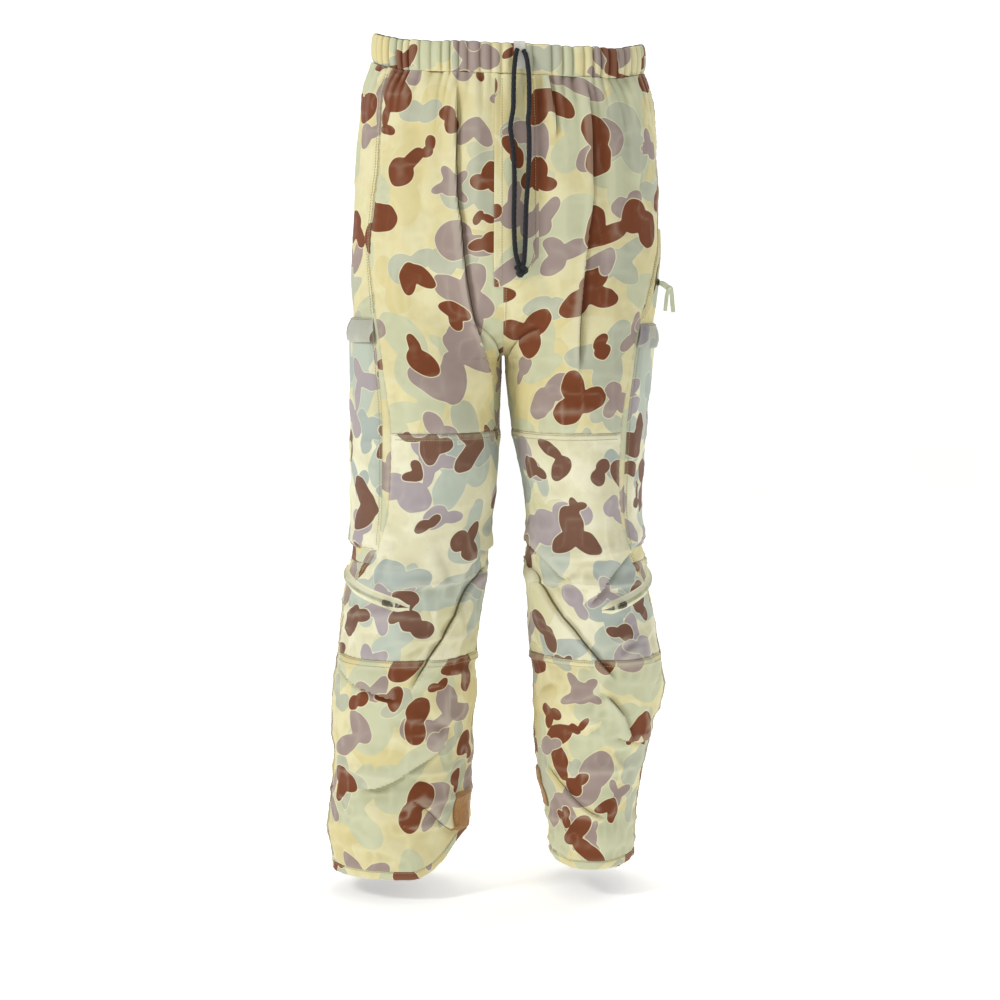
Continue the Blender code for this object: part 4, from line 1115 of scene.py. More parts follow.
def hem(side, seed):
    """The turned hem, a folded ring."""
    columns = 250
    t = np.arange(columns)[None, :] / columns
    profile = np.array([
        (0.011, 0.0002), (0.0104, 0.0005), (0.008, 0.0007), (0.005, 0.0008), (0.0022, 0.0007),
        (0.0007, 0.0002), (0.0001, -0.0008), (0.0, -0.0016),
    ])
    up, out = profile[:, :1], profile[:, 1:]
    z = hem_level(side, t) + up
    tt = np.broadcast_to(t, z.shape)
    outer = draped(side, tt, z, np.broadcast_to(out, z.shape))
    back = draped(side, tt, hem_level(side, t) + np.maximum(up, 0.0012), np.full(z.shape, -0.0026))
    u, v = flat_place(outer)
    fields = print_fields(u, v, seed, window_round(u, v, 0.02, 0.03))
    fields["wear_and_highlight"] = np.clip(0.15 + 0.5 * np.exp(-up / 0.002) + 0 * z, 0, 1)
    made = two_skins(f"hem_{side}", outer, back, [PRINT, LINING], fields, (u, v), ring=True)
    stands_for(made, f"hem_{side}")
    return made


def small_sheet(name, outer, normals, thick, finishes, seed, finish_slot, body="trousers", **more):
    """A sewn-on piece of cloth or tape from its outer face."""
    inner = outer - normals * thick
    u, v = flat_place(outer)
    fields = {}
    if finishes[0] in (PRINT, PALE, GREY):
        fields = print_fields(u, v, seed, window_round(u, v, 0.05, 0.05))
        fields["wear_and_highlight"] = wear_and_highlight_of(0 * u, u, v)
    made = two_skins(name, outer, inner, finishes, fields, (u, v), **more)
    if body:
        stands_for(made, name, body)
    else:
        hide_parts(name)
    return made, u, v


# ---------------------------------------------------------------- waistband
def waist_line(sides_and_turns):
    """Points of the waist's lower edge and their level outward directions."""
    points, outs = [], []
    for side, turns in sides_and_turns:
        level = np.full(len(turns), -BAND_HEIGHT)
        points.append(cloth_point(side, turns, level))
        n = cloth_normal(side, turns, level)
        n[:, 2] = 0
        outs.append(unit(n))
    return np.vstack(points), np.vstack(outs)


def ruches(p):
    """Upright tubes of gathered cloth, from -1 to 1, and their slower swell."""
    q = np.stack([p[..., 0], p[..., 1] * 0.85, 0 * p[..., 0]], -1)
    beside_keeper = np.exp(-(((p[..., 0] - 0.0187) / 0.009) ** 2)) * (p[..., 1] < 0)
    calm = 1 - 0.85 * beside_keeper
    return gathers(p) * calm, noise(q, 0.02, 19) * calm


def band_grids(p, n, profile, thick, gather):
    """Outer and inner grids of a strip swept round the waist along a profile of (height, out) pairs."""
    profile = np.array(profile)
    height, out = profile[:, :1], profile[:, 1:]
    run = np.gradient(profile, axis=0)
    run = run / np.linalg.norm(run, axis=1, keepdims=True)
    tube, swell = ruches(p)
    front_leaf = ease((out + 0.0075) / 0.005)
    sewn = 0.45 + 0.55 * ease((height + BAND_HEIGHT) / 0.006)
    push = gather * (0.0032 * tube + 0.0012 * swell) * sewn * (0.35 + 0.65 * front_leaf)
    lift = gather * (0.0007 * tube + 0.001 * swell) * ease((height + 0.012) / 0.012)
    lift = lift - gather * 0.0022 * np.exp(-((p[:, 1] / 0.045) ** 2)) * ease((height + 0.014) / 0.012)
    ground = WAIST_TILT * p[:, 0] - front_dip(p[:, 1])
    skins = []
    for depth in (0.0, thick):
        o = out - run[:, :1] * depth + push
        h = height + run[:, 1:] * depth + lift
        x = p[:, 0] + n[:, 0] * o
        y = p[:, 1] + n[:, 1] * o
        skins.append(np.stack([x, y, h + ground], -1))
    return skins


def waistband():
    """The ruched casing in two pieces and the tape that the drawcord comes out of."""
    profile = curve_through(CASING_PROFILE, 2)
    over = int(np.argmax(profile[:, 0] > -0.0009))
    for name, middle, start, count, seed in (
        ("waistband_front", 0.0, SIDE_T - SEAM_T, 240, 61),
        ("waistband_back", 1.0, SIDE_T + SEAM_T, 320, 62),
    ):
        turns = np.linspace(start, middle, count)
        p, n = waist_line([("right", turns), ("left", turns[-2::-1])])
        outer, inner = band_grids(p, n, profile, 0.0013, 1.0)
        u, v = flat_place(outer)
        fields = print_fields(u, v, seed, window_round(u, v, 0.0, 0.03))
        tube, _ = ruches(p)
        # Paler on the ruches' crests: a painted highlight.
        fields["wear_and_highlight"] = np.clip(0.5 * tube, 0, 1)[None, :] + 0 * u
        # Painted shade, darkest in the ruches' valleys.
        fields["hollow_shade"] = np.clip(0.35 - 1.3 * tube, 0, 1.6)[None, :] + 0 * u
        rows = (np.arange(len(profile) - 1) >= over).astype(int)
        made = two_skins(name, outer, inner, [PRINT, LINING], fields, (u, v), row_finish=rows)
        stands_for(made, name)
        declare_sheet(u, v, skin_area(outer))
    profile = curve_through([
        (-0.0305, 0.0022), (-0.024, 0.0029), (-0.016, 0.0031), (-0.008, 0.0029), (-0.001, 0.0018),
        (0.0024, -0.0012), (0.0028, -0.0044), (0.002, -0.008), (-0.003, -0.0108), (-0.016, -0.0113),
        (-0.03, -0.0114),
    ], 3)
    p, n = waist_line([("left", np.linspace(0.0155, 0.0365, 13))])
    outer, inner = band_grids(p, n, profile, 0.001, 0.0)
    outer[:, (0, 1, -2, -1), 1] -= 0.00025 * np.sign(-outer[:, (0, 1, -2, -1), 1])
    normals = unit(outer - inner)
    made, u, v = small_sheet("drawcord_keeper", outer, normals, 0.001, [KEEPER], 0, "keeper_tape")
    declare_sheet(u, v, skin_area(outer))


# ---------------------------------------------------------------- drawcord
def even_line(points, step):
    """The same line with its points evenly spaced."""
    along = np.r_[0, np.cumsum(np.linalg.norm(np.diff(points, axis=0), axis=1))]
    places = np.linspace(0, along[-1], max(3, int(along[-1] / step)))
    return np.stack([np.interp(places, along, points[:, k]) for k in range(3)], -1), along[-1]


def tube_frame(line, closed=False):
    """Directions along a line and two across it that don't twist."""
    round_it = np.roll(line, -1, axis=0) - np.roll(line, 1, axis=0)
    along = unit(round_it if closed else np.gradient(line, axis=0))
    first = np.cross(along[0], (0.3, 1.0, 0.2))
    across = [first / np.linalg.norm(first)]
    for direction in along[1:]:
        turned = across[-1] - direction * across[-1].dot(direction)
        across.append(turned / np.linalg.norm(turned))
    across = np.array(across)
    return along, across, np.cross(along, across)


def braided(pile, line, radius, closed=False):
    """A plaited round cord along a line of evenly spaced points."""
    along, across, other = tube_frame(line, closed)
    angle = np.arange(BRAID_SIDES) * 2 * np.pi / BRAID_SIDES
    far = np.r_[0, np.cumsum(np.linalg.norm(np.diff(line, axis=0), axis=1))][:, None]
    turn = 2 * np.pi * far / (radius * 2.6)
    plait = np.maximum(np.cos(4 * angle + turn), np.cos(4 * angle - turn))
    r = radius * (0.98 + 0.12 * plait)
    ring = line[:, None] + r[..., None] * (
        np.cos(angle)[None, :, None] * across[:, None] + np.sin(angle)[None, :, None] * other[:, None]
    )
    rows = len(line)
    ring = ring.reshape(-1, 3)
    if closed:
        pile.add(ring, quads(rows + 1, BRAID_SIDES, ring=True) % (rows * BRAID_SIDES))
        return
    dome = radius * 0.4
    points = np.vstack([ring, line[0] - along[0] * dome, line[-1] + along[-1] * dome])
    pile.add(points, *capped(rows, BRAID_SIDES))


def drawcord():
    """The two hanging strands and the knot that joins them."""
    knot = Pile()
    u = np.arange(260) * 2 * np.pi / 260
    wide = 0.002 * (np.sin(u) + 2 * np.sin(2 * u))
    high = 0.00178 * (np.cos(u) - 2 * np.cos(2 * u))
    lean = math.radians(22)
    x = wide * math.cos(lean) + high * math.sin(lean)
    z = high * math.cos(lean) - wide * math.sin(lean)
    coil = np.stack([x, 0.003 * np.sin(3 * u), z * 1.15 + 0.0012], -1) + KNOT_CENTRE
    coil, _ = even_line(np.vstack([coil, coil[:1]]), CORD_STEP)
    braided(knot, coil[:-1], KNOT_RADIUS, closed=True)
    end = [(0.001, 0.001, 0.0), (-0.0034, -0.0012, 0.003), (-0.0072, -0.0014, 0.0058)]
    braided(knot, even_line(KNOT_CENTRE + curve_through(end, 8), CORD_STEP)[0], KNOT_RADIUS)
    made = knot.mesh("drawcord_knot", CORD)
    stands_for(made, "drawcord_knot")
    into_knot = tuple(KNOT_CENTRE + (0.0, 0.0008, 0.0044))
    for side, route in (("right", STRAND_A), ("left", STRAND_B)):
        line, length = even_line(curve_through(route + [into_knot], 10), CORD_STEP)
        strand = Pile()
        braided(strand, line, CORD_RADIUS)
        name = f"drawcord_strand_{side}"
        shown = strand.mesh(name, CORD)
        stands_for(shown, name)


# ---------------------------------------------------------------- fly
def fly():
    """The placket, whose far edge melts into the left panel, and the facing behind it."""
    rows, u0, v0, window, seed = PRINTED["front_upper_left"]
    top, low_end = -0.0375, -0.303
    shares = np.linspace(0, 1, 110)[:, None]
    grids = []
    for side, t in (("right", np.linspace(0.0125, 0.0008, 7)), ("left", np.linspace(0.0, 0.056, 26))):
        low = low_end + 0.034 * ease((t - 0.018) / 0.04) * (side == "left")
        z = top + (low - top) * shares
        t = np.broadcast_to(t, z.shape)
        lip = 0.0024 - 0.0017 * ease(t / 0.05) * (side == "left")
        round_end = 0.0006 * ease((z - low) / 0.003)
        p, n = free_draped(side, t, z, lip - 0.0006 + round_end)
        grids.append((p, n, z, cloth_point(side, t, z)))
    outer, n, z, plain = (np.hstack(some) for some in zip(*grids))
    outer[:, 0] -= n[:, 0] * 0.0006
    across = np.linalg.norm(np.diff(plain, axis=1), axis=2)
    across = np.hstack([np.zeros((len(outer), 1)), np.cumsum(across, axis=1)])
    across = across - across[:, 7:8]
    u = np.interp(-z, -rows, u0) + across
    v = np.interp(-z, -rows, v0)
    fields = print_fields(u, v, seed, window)
    fields["wear_and_highlight"] = 0.6 * np.exp(-(across - across[:, :1]) / 0.0022)
    made = two_skins("fly_placket", outer, outer - n * TAPE, [PRINT, LINING], fields, (u, v))
    stands_for(made, "fly_placket")
    heights = np.linspace(-0.04, -0.262, 60)[:, None]
    grids = [
        free_draped(side, t, heights, -CLOTH - 0.001)
        for side, t in (("right", np.linspace(0.018, 0.001, 6)), ("left", np.linspace(0.0, 0.052, 16)))
    ]
    outer, n = (np.hstack(some) for some in zip(*grids))
    made, u, v = small_sheet("fly_facing", outer, n, TAPE, [PRINT, LINING], 64, "camouflage_cloth")
    declare_sheet(u, v, skin_area(outer))


# ---------------------------------------------------------------- pockets
def patch_grid(side, span, turns, heights):
    """A grid over a span of turns: its shares, heights, points, directions and distance from the sides."""
    t, z = np.meshgrid(np.linspace(*span, turns), heights)
    from_side = np.minimum(t - span[0], span[1] - t) * ROUND_LEG
    return t, z, cloth_point(side, t, z), cloth_normal(side, t, z), from_side


def pocket(side, seed):
    """The pouch, its flap and the tapes that close it."""
    t_front, t_back = POCKET_SPAN[side]
    mouth = POCKET_MOUTH[side]
    heights = np.linspace(mouth, POCKET_BOTTOM, 112)
    t, z, place, n, from_side = patch_grid(side, POCKET_SPAN[side], 58, heights)
    edge = ease(from_side / 0.008 + 0.02) * ease((z - POCKET_BOTTOM) / 0.008 + 0.02)
    loose = ease((mouth - 0.035 - z) / 0.05)
    slack = 0.0016 * noise(place, 0.045, 41) + 0.0013 * ridges(place, (0.05, 0.05, 0.028), 43)
    slack += 0.0004 * ridges(place, 0.016, 45)
    out = 0.001 + (POUCH_OUT - 0.001) * edge + slack * edge * loose
    outer = draped(side, t, z, out)
    name = f"cargo_pocket_{side}"
    made, u, v = small_sheet(name, outer, n, TAPE, [PALE, LINING], seed, "pale_camouflage_cloth")
    declare_sheet(u, v, skin_area(outer))

    top = mouth + FLAP_SEAM_UP
    knee = mouth + 0.006
    middle = (t_front + t_back) / 2
    profile = curve_through([
        (top, 0.0012), ((top + knee) / 2, 0.004), (knee, FLAP_OUT - 0.0022),
        (knee - 0.006, FLAP_OUT - 0.0006), (knee - 0.011, FLAP_OUT), (top - FLAP_HEIGHT, FLAP_OUT - 0.0008),
    ], 4)
    span = (t_front - 0.006, t_back + 0.006)
    t, z, place, n, from_end = patch_grid(side, span, 62, profile[:, 0])
    fall = ease((top - z) / FLAP_HEIGHT)
    wave = 0.0011 * noise(place, 0.028, 47 + seed) * fall
    sag = 0.001 * noise(place * (1, 1, 0), 0.03, 48) * fall
    closing = 0.45 + 0.55 * ease(from_end / 0.01)
    outer = draped(side, t, z + sag, (profile[:, 1:] + TAPE + wave) * closing)
    name = f"pocket_flap_{side}"
    flap, u, v = small_sheet(name, outer, n, TAPE, [GREY, LINING], seed + 5, "flap_cloth", body=None)
    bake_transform(flap)
    declare_sheet(u, v, skin_area(outer))

    reach = FLAP_TAPE_LENGTH / 2 / ROUND_LEG
    heights = np.linspace(mouth - 0.0025, top - FLAP_HEIGHT + 0.0015, 8)
    t, z, place, n, _ = patch_grid(side, (middle - reach, middle + reach), 26, heights)
    for name, out, body in (
        (f"flap_hook_tape_{side}", FLAP_OUT - 0.001, f"flap_{side}"),
        (f"pocket_loop_tape_{side}", POUCH_OUT + 0.0006, "trousers"),
    ):
        outer = draped(side, t, z, out + 0.0002 * noise(place, 0.003, 51))
        small_sheet(name, outer, n, 0.0008, [HOOKS], 0, "hook_tape", body)


def ankle_patch(side):
    """Napped patch sewn on the inner side of the ankle."""
    top = PATCH_TOP[side]
    low = top - PATCH_HEIGHT
    t, z, place, n, from_side = patch_grid(side, PATCH_SPAN[side], 34, np.linspace(top, low, 44))
    domed = ease(np.minimum(from_side, np.minimum(top - z, z - low)) / 0.003)
    nap = 0.00022 * noise(place, 0.0022, 53)
    outer = draped(side, t, z, LAYER_GAP + 0.0008 + 0.0008 * domed + nap)
    name = f"ankle_loop_patch_{side}"
    made, u, v = small_sheet(name, outer, n, 0.0014, [LOOPS], 0, "loop_tape")
    declare_sheet(u, v, skin_area(outer))


# ---------------------------------------------------------------- zips
def block(pile, centre, axes, half, square=0.35, rings=9, around=20):
    """A box with well rounded edges: axes are three directions and half its half sizes."""
    up = np.linspace(-np.pi / 2, np.pi / 2, rings)[1:-1, None]
    turn = (np.arange(around) * 2 * np.pi / around)[None, :]
    d = np.stack([np.cos(up) * np.cos(turn), np.cos(up) * np.sin(turn), np.sin(up) + 0 * turn], -1)
    d = power(d, square) * np.array(half)
    points = np.vstack([d.reshape(-1, 3), [(0, 0, -half[2])], [(0, 0, half[2])]])
    points = np.array(centre) + points @ np.array(axes)
    pile.add(points, *capped(rings - 2, around))


def ring_of(pile, centre, first, second, radius, thick, count=28):
    """A round ring lying in the plane of two directions."""
    turn = np.arange(count) * 2 * np.pi / count
    line = np.array(centre) + radius * (np.cos(turn)[:, None] * first + np.sin(turn)[:, None] * second)
    small = np.arange(8) * np.pi / 4
    radial = unit(line - np.array(centre))
    upright = np.cross(first, second)
    spoke = np.cos(small)[None, :, None] * radial[:, None] + np.sin(small)[None, :, None] * upright
    points = (line[:, None] + thick * spoke).reshape(-1, 3)
    pile.add(points, quads(count + 1, 8, ring=True) % (count * 8))


def zip_arc(side):
    """The knee zip's circle: its centre, axis, radius, start direction and angle."""
    (t_front, z_front), (t_back, z_back) = KNEE_ZIP[side]
    t = np.array([t_front, (t_front + t_back) / 2, t_back])
    z = np.array([z_front, (z_front + z_back) / 2, z_back])
    a, b, c = cloth_point(side, t, z) + ZIP_OUT * cloth_normal(side, t, z)
    u, v = b - a, c - a
    normal = np.cross(u, v)
    to_centre = (np.cross(normal, u) * v.dot(v) + np.cross(v, normal) * u.dot(u)) / (2 * normal.dot(normal))
    centre = a + to_centre
    start, end = a - centre, c - centre
    radius = np.linalg.norm(start)
    angle = math.acos(start.dot(end) / (radius * np.linalg.norm(end)))
    return centre, unit(normal), radius, unit(start), angle


def arc_frame(arc, turn):
    """Points on the zip's circle with their outward and forward directions."""
    centre, axis, radius, start, _ = arc
    turn = np.asarray(turn)[..., None]
    out = start * np.cos(turn) + np.cross(axis, start) * np.sin(turn)
    return centre + out * radius, out, np.cross(axis, out)


def knee_zip(side, seed):
    """Zip tape between two cloth welts, its two coils, and a slider with a pull."""
    arc = zip_arc(side)
    _, axis, radius, _, angle = arc
    turns = np.linspace(-0.03, angle + 0.02, 120)
    p, out, _ = arc_frame(arc, turns)
    rows = [(-0.004, 0.0002), (-0.003, 0.0009), (-0.0012, 0.001), (0.0, 0.0008),
            (0.0012, 0.001), (0.003, 0.0009), (0.004, 0.0002)]
    outer = np.stack([p + axis * up + out * far for up, far in rows])
    normals = np.broadcast_to(out, outer.shape)
    small_sheet(f"knee_zip_{side}", outer, normals, 0.0009, [ZIP_TAPE], 0, "zip_tape")
    coil = Pile()
    for turn in np.arange(0.01, angle, COIL_PITCH / radius):
        q, o, a = arc_frame(arc, turn)
        for hand in (-1, 1):
            place = q + axis * hand * 0.00105 + o * 0.0012 + a * (0.0004 * hand)
            block(coil, place, (axis, a, o), (0.00115, 0.00062, 0.0005), 0.7, 6, 8)
    for turn in (0.0, angle):
        q, o, a = arc_frame(arc, turn)
        block(coil, q + o * 0.0011, (axis, a, o), (0.0034, 0.0011, 0.0008), 0.4)
    teeth = coil.mesh(f"knee_zip_coil_{side}", ZIP_TEETH)
    moves_with(teeth)

    before, beyond = -0.16, 1.08
    share = np.linspace(before, beyond, 140)
    p, out, _ = arc_frame(arc, angle * share)
    t, z = between(KNEE_ZIP[side], share)
    sewn = ease(np.minimum(share - before, beyond - share) / 0.13)[:, None]
    for hand, edge_name in ((1, "upper"), (-1, "lower")):
        inside = p + axis * (0.0033 * hand * np.sign(axis[2])) + out * 0.001
        closed = draped(side, t, z + hand * 0.0002, 0.0006)
        inside = closed + (inside - closed) * sewn
        far = draped(side, t, z + hand * (0.0034 + 0.0048 * sewn[:, 0]), 0.0001)
        near = draped(side, t, z + hand * (0.0022 + 0.004 * sewn[:, 0]), 0.0004)
        crest = inside * 0.6 + near * 0.4
        lines = [inside, crest, near, far]
        outer = np.stack([a + (b - a) * k / 3 for a, b in zip(lines, lines[1:]) for k in range(3)] + [far])
        n = unit(grid_normals(outer, np.broadcast_to(out, outer.shape)))
        u, v = flat_place(outer)
        fields = print_fields(u, v, seed + hand, window_round(u, v, 0.0, 0.01))
        fields["wear_and_highlight"] = wear_and_highlight_of(0 * u, u, v)
        name = f"knee_zip_welt_{edge_name}_{side}"
        welt = two_skins(name, outer, outer - n * 0.0008, [PALE], fields, (u, v))
        moves_with(welt)

    slider = Pile()
    q, o, a = arc_frame(arc, 0.02 + 0.0055 / radius)
    base = q + o * 0.0034
    block(slider, base, (axis, a, o), (0.0036, 0.0055, 0.0013), 0.35)
    block(slider, base + a * 0.0036, (axis, a, o), (0.0022, 0.0022, 0.0012), 0.5)
    block(slider, base + o * 0.0016, (axis, a, o), (0.0009, 0.0042, 0.0008), 0.4)
    ring_of(slider, base + o * 0.0019 - a * 0.003, a, o, 0.0013, 0.0004)
    block(slider, base + o * 0.0021 - a * 0.0068, (axis, a, o), (0.0018, 0.0036, 0.0005), 0.35)
    name = f"knee_zip_slider_{side}"
    made = slider.mesh(name, METAL)
    stands_for(made, name, f"knee_slider_{side}")


def side_place(share, across, out):
    """Points beside the left hip's opening: a share down it, metres across it and out of the cloth."""
    share, across, out = np.broadcast_arrays(share, across, out)
    t, z = between(SIDE_ZIP, share)
    t = t + across / ROUND_LEG
    return draped("left", t, z, out), cloth_normal("left", t, z)


def side_frame():
    """Where the side slider rests, and its directions along, out of and across the opening."""
    t, z = between(SIDE_ZIP, np.array([SIDE_SLIDER_SHARE, 0.1]))
    normals = cloth_normal("left", t, z)
    here, top = cloth_point("left", t, z) + SIDE_ZIP_OUT * normals
    along = unit(top - here)
    sideways = unit(np.cross(along, normals[0]))
    outward = unit(np.cross(sideways, along))
    return here + outward * 0.002, along, outward, sideways


def ribbon(name, lines, half_width, thick, finish):
    """Flat tapes along lines, each with its width across the view from the front."""
    outline = [(-1, 0), (-0.9, 0.5), (0, 0.62), (0.9, 0.5), (1, 0), (0.9, -0.5), (0, -0.38), (-0.9, -0.5)]
    pile = Pile()
    for line, half in zip(lines, half_width):
        line, _ = even_line(curve_through(line, 8), 0.001)
        along = unit(np.gradient(line, axis=0))
        sideways = unit(np.cross(along, (0.25, -1.0, 0.0)))
        across = np.array([a * half for a, _ in outline])[None, :, None]
        out = np.array([o * thick for _, o in outline])[None, :, None]
        ring = line[:, None] + sideways[:, None] * across + np.cross(sideways, along)[:, None] * out
        points = np.vstack([ring.reshape(-1, 3), ring[0].mean(0), ring[-1].mean(0)])
        pile.add(points, *capped(len(line), len(outline)))
    return pile.mesh(name, finish)


def side_dip(share):
    """How much lower the opening's parts sit where the slider passes over them."""
    return 0.0014 * np.exp(-(((share - 0.49) / 0.1) ** 2))


def side_opening():
    """The left hip's opening: brown tape in a slit between two lips, its teeth, slider and tie."""
    share = np.linspace(0, 1, 60)[:, None]
    outer, n = side_place(share, np.linspace(-0.0045, 0.0045, 9)[None, :], 0.0019 - side_dip(share))
    small_sheet("side_zip_left", outer, n, 0.0009, [SIDE_TAPE], 0, "side_zip_tape")
    teeth = Pile()
    for step in np.linspace(0.01, 0.99, 62):
        out = 0.0023 - side_dip(step)
        for hand in (-1, 1):
            q, m = side_place(step, hand * 0.0007, out)
            later, _ = side_place(step + 0.01, hand * 0.0007, out)
            a = unit(later - q)
            across = unit(np.cross(a, m))
            block(teeth, q + a * 0.0005 * hand, (across, a, m), (0.001, 0.0006, 0.0005), 0.6, 6, 8)
    made = teeth.mesh("side_zip_teeth_left", SIDE_TAPE)
    moves_with(made)
    for hand, edge_name in ((-1, "front"), (1, "rear")):
        open_by = 0.0005 + 0.0013 * np.exp(-(((share - 0.34) / 0.28) ** 2))
        rows = np.linspace(0, 1, 8)[None, :]
        across = hand * (open_by + 0.0068 * rows)
        lift = 0.003 - 0.0026 * ease(rows) + 0.0005 * np.sin(np.pi * rows)
        lift = lift - 1.1 * side_dip(share) * (1 - rows)
        slider_gap = ease((np.abs(share - SLIDER_RUN_MIDDLE) - 0.11) / 0.06)
        outer, n = side_place(share, across + hand * 0.0026 * (1 - slider_gap), lift)
        name = f"side_zip_lip_{edge_name}_left"
        u, v = flat_place(outer)
        fields = print_fields(u, v, 70 + hand, window_round(u, v))
        fields["wear_and_highlight"] = wear_and_highlight_of(0 * u, u, v)
        lip = two_skins(name, outer, outer - n * 0.0009, [PRINT, LINING], fields, (u, v))
        moves_with(lip)
    start, along, outward, sideways = side_frame()
    axes = (sideways, along, outward)
    slider = Pile()
    block(slider, start, axes, (0.0026, 0.0042, 0.0011), 0.35)
    block(slider, start + along * 0.0026, axes, (0.0029, 0.0018, 0.001), 0.5)
    block(slider, start + outward * 0.0014, axes, (0.0009, 0.004, 0.0008), 0.4)
    made = slider.mesh("side_zip_slider_left", METAL)
    stands_for(made, "side_zip_slider_left", "side_slider")

    eye = start + outward * 0.0024
    knot = eye + np.array((0.0125, -0.0015, -0.0065))
    tails = [
        [eye, eye + (0.005, -0.0012, -0.001), knot + (-0.003, 0, 0.0022), knot],
        [eye + (0.0, 0.0, -0.0012), eye + (0.004, -0.0016, -0.004), knot + (-0.004, 0, -0.0006), knot],
        [knot + (-0.001, -0.0006, 0.0), knot + (-0.0036, -0.001, -0.008), knot + (-0.0048, -0.0004, -0.018),
         knot + (-0.0058, -0.0008, -0.0286)],
        [knot + (0.001, 0.0004, 0.0), knot + (0.0022, 0.0002, -0.009), knot + (0.003, 0.0006, -0.019),
         knot + (0.0042, 0.0, -0.03)],
    ]
    made = ribbon("tie_tape_left", tails, (0.002, 0.002, 0.0025, 0.0028), 0.0009, TIE)
    stands_for(made, "tie_tape_left", "tie_tape")
    bow = Pile()
    block(bow, knot, ((1, 0, 0), (0, 0, 1), (0, 1, 0)), (0.0027, 0.0024, 0.0017), 0.7)
    ring_of(bow, knot, np.array((0.86, 0, 0.5)), np.array((0.1, 1.0, -0.1)), 0.0016, 0.0011)
    moves_with(bow.mesh("tie_tape_knot_left", TIE), "tie_tape")


# ---------------------------------------------------------------- stitching
def sew(pile, side, route, out=0.0002):
    """Stitches through (share round, height) places on one leg's cloth."""
    t, z = curve_through(route, 40).T
    line, n = free_draped(side, t, z, out)
    line, _ = even_line(line, 0.0008)
    places = np.linspace(0, len(n) - 1, len(line))
    n = unit(np.stack([np.interp(places, np.arange(len(n)), n[:, k]) for k in range(3)], -1))
    stitch(pile, line, n)


def seam_route(side, top, low, off):
    rows = np.linspace(top, low, 14)
    return np.stack([smooth(OUTSEAM[side], rows) + off / ROUND_LEG, rows], -1)


def level_route(start, end, z):
    return [(start + (end - start) * k / 8, z) for k in range(9)]


SEAM_ROWS = (0.0018, 0.0072)    # the two rows of thread beside a felled seam


def stitching():
    """Rows of thread along the seams, hems, pockets, fly and patches."""
    seams = Pile()
    for side in SIDES:
        seam = float(smooth(OUTSEAM[side], np.array(KNEE_TOP_Z)))
        low_seam = float(smooth(OUTSEAM[side], np.array(KNEE_LOW_Z)))
        for off in SEAM_ROWS:
            sew(seams, side, seam_route(side, -0.045, POCKET_MOUTH[side] + 0.02, off))
            sew(seams, side, seam_route(side, POCKET_BOTTOM - 0.006, HEM_Z[side] + 0.016, off))
            sew(seams, side, level_route(0.012, seam - 0.01, KNEE_TOP_Z - off))
            sew(seams, side, level_route(0.012, low_seam - 0.01, KNEE_LOW_Z - off))
            sew(seams, side, level_route(low_seam + 0.02, 0.985, SEAT_SEAM_Z - off))
        for t_seam in (0.0072, 0.9928):
            sew(seams, side, [(t_seam, z) for z in np.linspace(-0.415, HEM_Z[side] + 0.08, 9)])
        sew(seams, side, [(0.996, z) for z in np.linspace(-0.046, -0.34, 9)])
        hem_turns = np.linspace(0.004, 0.996, 26)
        sew(seams, side, [(t, float(hem_level(side, t)) + 0.0098) for t in hem_turns], 0.0007)
        t_front, t_back = POCKET_SPAN[side]
        mouth = POCKET_MOUTH[side]
        inset = 0.0016 / ROUND_LEG
        outline = [(t_front + inset, z) for z in (mouth, -0.45, -0.54, POCKET_BOTTOM + 0.004)]
        sew(seams, side, outline, 0.003)
        sew(seams, side, [(t_back + t_front - t, z) for t, z in outline], 0.003)
        sew(seams, side, level_route(t_front + 0.01, t_back - 0.01, POCKET_BOTTOM + 0.0018), 0.003)
        top = mouth + FLAP_SEAM_UP
        sew(seams, side, level_route(t_front - 0.004, t_back + 0.004, top - 0.0012), 0.0036)
        t_start, t_end = PATCH_SPAN[side]
        patch_top = PATCH_TOP[side]
        for z in (patch_top - 0.0022, patch_top - PATCH_HEIGHT + 0.0022):
            sew(seams, side, level_route(t_start + 0.003, t_end - 0.003, z), 0.0028)
        for t in (t_start + 0.0036, t_end - 0.0036):
            sew(seams, side, [(t, patch_top - 0.003 - 0.042 * k / 4) for k in range(5)], 0.0028)
    sew(seams, "right", [(0.0014, z) for z in np.linspace(-0.042, -0.298, 9)], 0.0025)
    curve = [(0.0505, -0.041), (0.0505, -0.1), (0.0505, -0.17), (0.0505, -0.235), (0.049, -0.258),
             (0.042, -0.276), (0.028, -0.289), (0.012, -0.297), (0.002, -0.2995)]
    sew(seams, "left", curve, 0.0014)
    for off in (0.0, 0.0012):
        sew(seams, "right", [(0.009 - 0.0085 * k / 4, -0.2985 + off) for k in range(5)], 0.0026)
    sew(seams, "left", [(0.0034, z) for z in np.linspace(-0.306, -0.352, 5)], 0.0002)
    moves_with(seams.mesh("seam_stitching", THREAD))


# ---------------------------------------------------------------- studio
CAMERA_PLACE = (-0.004, -3.0, -0.295)
CAMERA_AIM = (-0.004, 0.0, -0.569)
LIGHTS_AIM = (0, 0, -0.55)


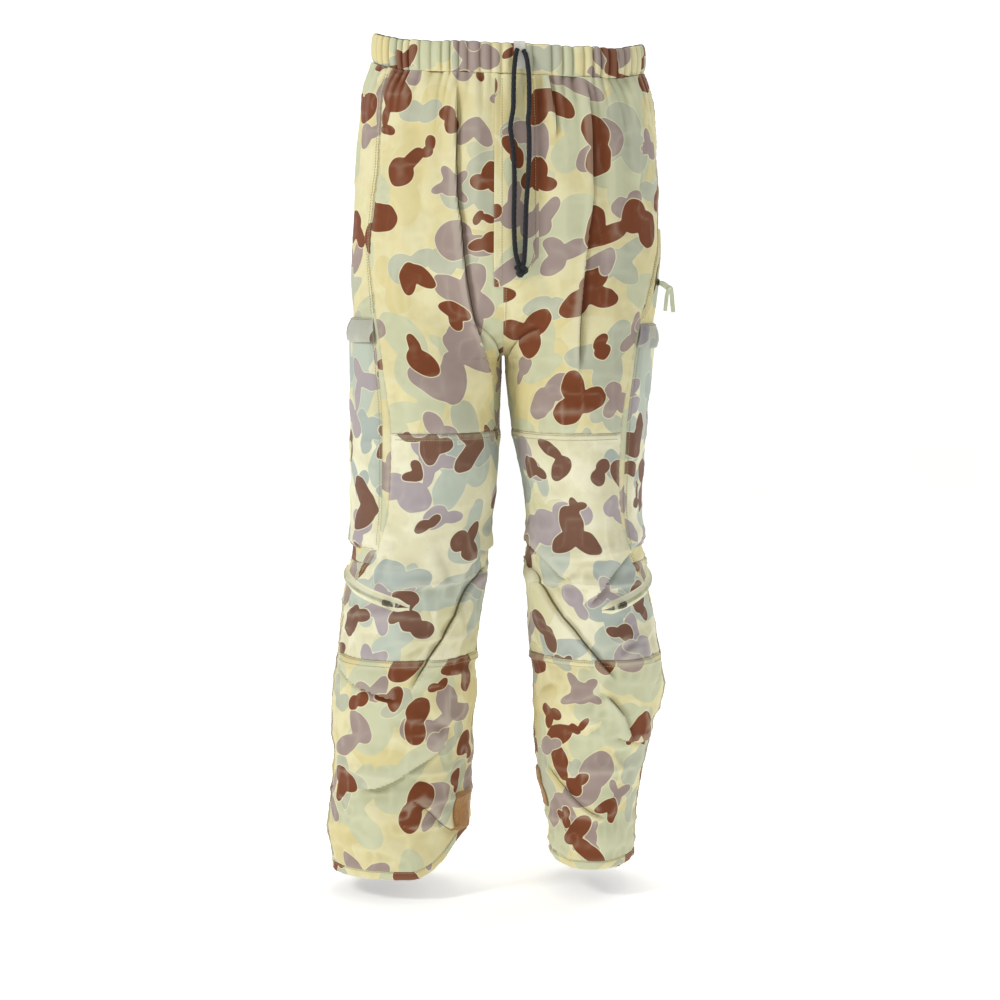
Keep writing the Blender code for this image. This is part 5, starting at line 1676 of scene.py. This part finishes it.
def studio():
    """Pale floor and backdrop, soft lights and the camera."""
    turns = np.linspace(0, math.pi / 2, 25)
    bend = [(3.6 + math.sin(turn), FLOOR_Z + 1 - math.cos(turn)) for turn in turns]
    section = [(y, FLOOR_Z) for y in (-6.0, -2.0, 0.0, 2.4)] + bend + [(4.6, 1.6), (4.6, 6.0)]
    xs = np.linspace(-7, 7, 13)
    points = np.array([[(x, y, z) for x in xs] for y, z in section])
    faces = quads(len(section), len(xs)).tolist()
    paper = matt("studio_paper", "FBFBFA", "F6F6F4")
    add_mesh("studio_backdrop", points.reshape(-1, 3), faces, [paper])
    world = bpy.data.worlds.new("studio")
    world.use_nodes = True
    background = world.node_tree.nodes["Background"]
    background.inputs["Color"].default_value = (1.0, 1.0, 1.0, 1.0)
    background.inputs["Strength"].default_value = 0.3
    bpy.context.scene.world = world
    for name, place, size, power_w, tint in (
        ("key", (-2.8, -2.0, 1.8), 0.9, 66, (1.0, 0.99, 0.97)),
        ("rear", (1.6, 2.6, 0.6), 1.8, 22, (1.0, 1.0, 1.0)),
        ("fill", (2.4, -2.8, -0.1), 2.4, 17, (0.98, 0.99, 1.0)),
        ("top", (0.2, 0.6, 2.6), 1.8, 26, (1.0, 1.0, 1.0)),
    ):
        light = bpy.data.lights.new(name, "AREA")
        light.size = size
        light.energy = power_w
        light.color = tint
        lamp = bpy.data.objects.new(name, light)
        lamp.location = place
        aim = Vector(LIGHTS_AIM) - lamp.location
        lamp.rotation_euler = aim.to_track_quat("-Z", "Y").to_euler()
        bpy.context.scene.collection.objects.link(lamp)
    camera = bpy.data.cameras.new("camera")
    camera.lens = 86.8
    camera.sensor_width = 36
    eye = bpy.data.objects.new("camera", camera)
    eye.location = CAMERA_PLACE
    eye.rotation_euler = (Vector(CAMERA_AIM) - eye.location).to_track_quat("-Z", "Y").to_euler()
    bpy.context.scene.collection.objects.link(eye)
    bpy.context.scene.camera = eye
    bpy.context.scene.view_settings.view_transform = "Standard"


studio()
for number, side in enumerate(SIDES):
    low = HEM_Z[side] + HEM_BAND + GAP
    kit = [
        ("front_upper", True, upper_rows(KNEE_TOP_Z + GAP / 2), PRINT, "camouflage_cloth"),
        (
            "knee_panel", True, levels(KNEE_TOP_Z - GAP / 2, KNEE_LOW_Z + GAP / 2),
            PALE, "pale_camouflage_cloth",
        ),
        ("shin_panel", True, levels(KNEE_LOW_Z - GAP / 2, low), PRINT, "camouflage_cloth"),
        ("back_upper", False, upper_rows(SEAT_SEAM_Z + GAP / 2), PRINT, "camouflage_cloth"),
        ("back_lower", False, levels(SEAT_SEAM_Z - GAP / 2, low), PRINT, "camouflage_cloth"),
    ]
    for place, (part, front, rows, finish, finish_slot) in enumerate(kit):
        cloth_panel(f"{part}_{side}", side, front, rows, finish, 1 + place + 10 * number)
    hem(side, 8 + 10 * number)
    pocket(side, 30 + 10 * number)
    knee_zip(side, 34 + 10 * number)
    ankle_patch(side)
waistband()
drawcord()
fly()
side_opening()
stitching()
for node, finish, finish_slot in (
    ("waist_elastic", ELASTIC, "elastic"), ("drawcord_hidden_run", CORD, "drawcord"),
):
    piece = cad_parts[node]
    piece.data.materials.clear()
    piece.data.materials.append(finish)
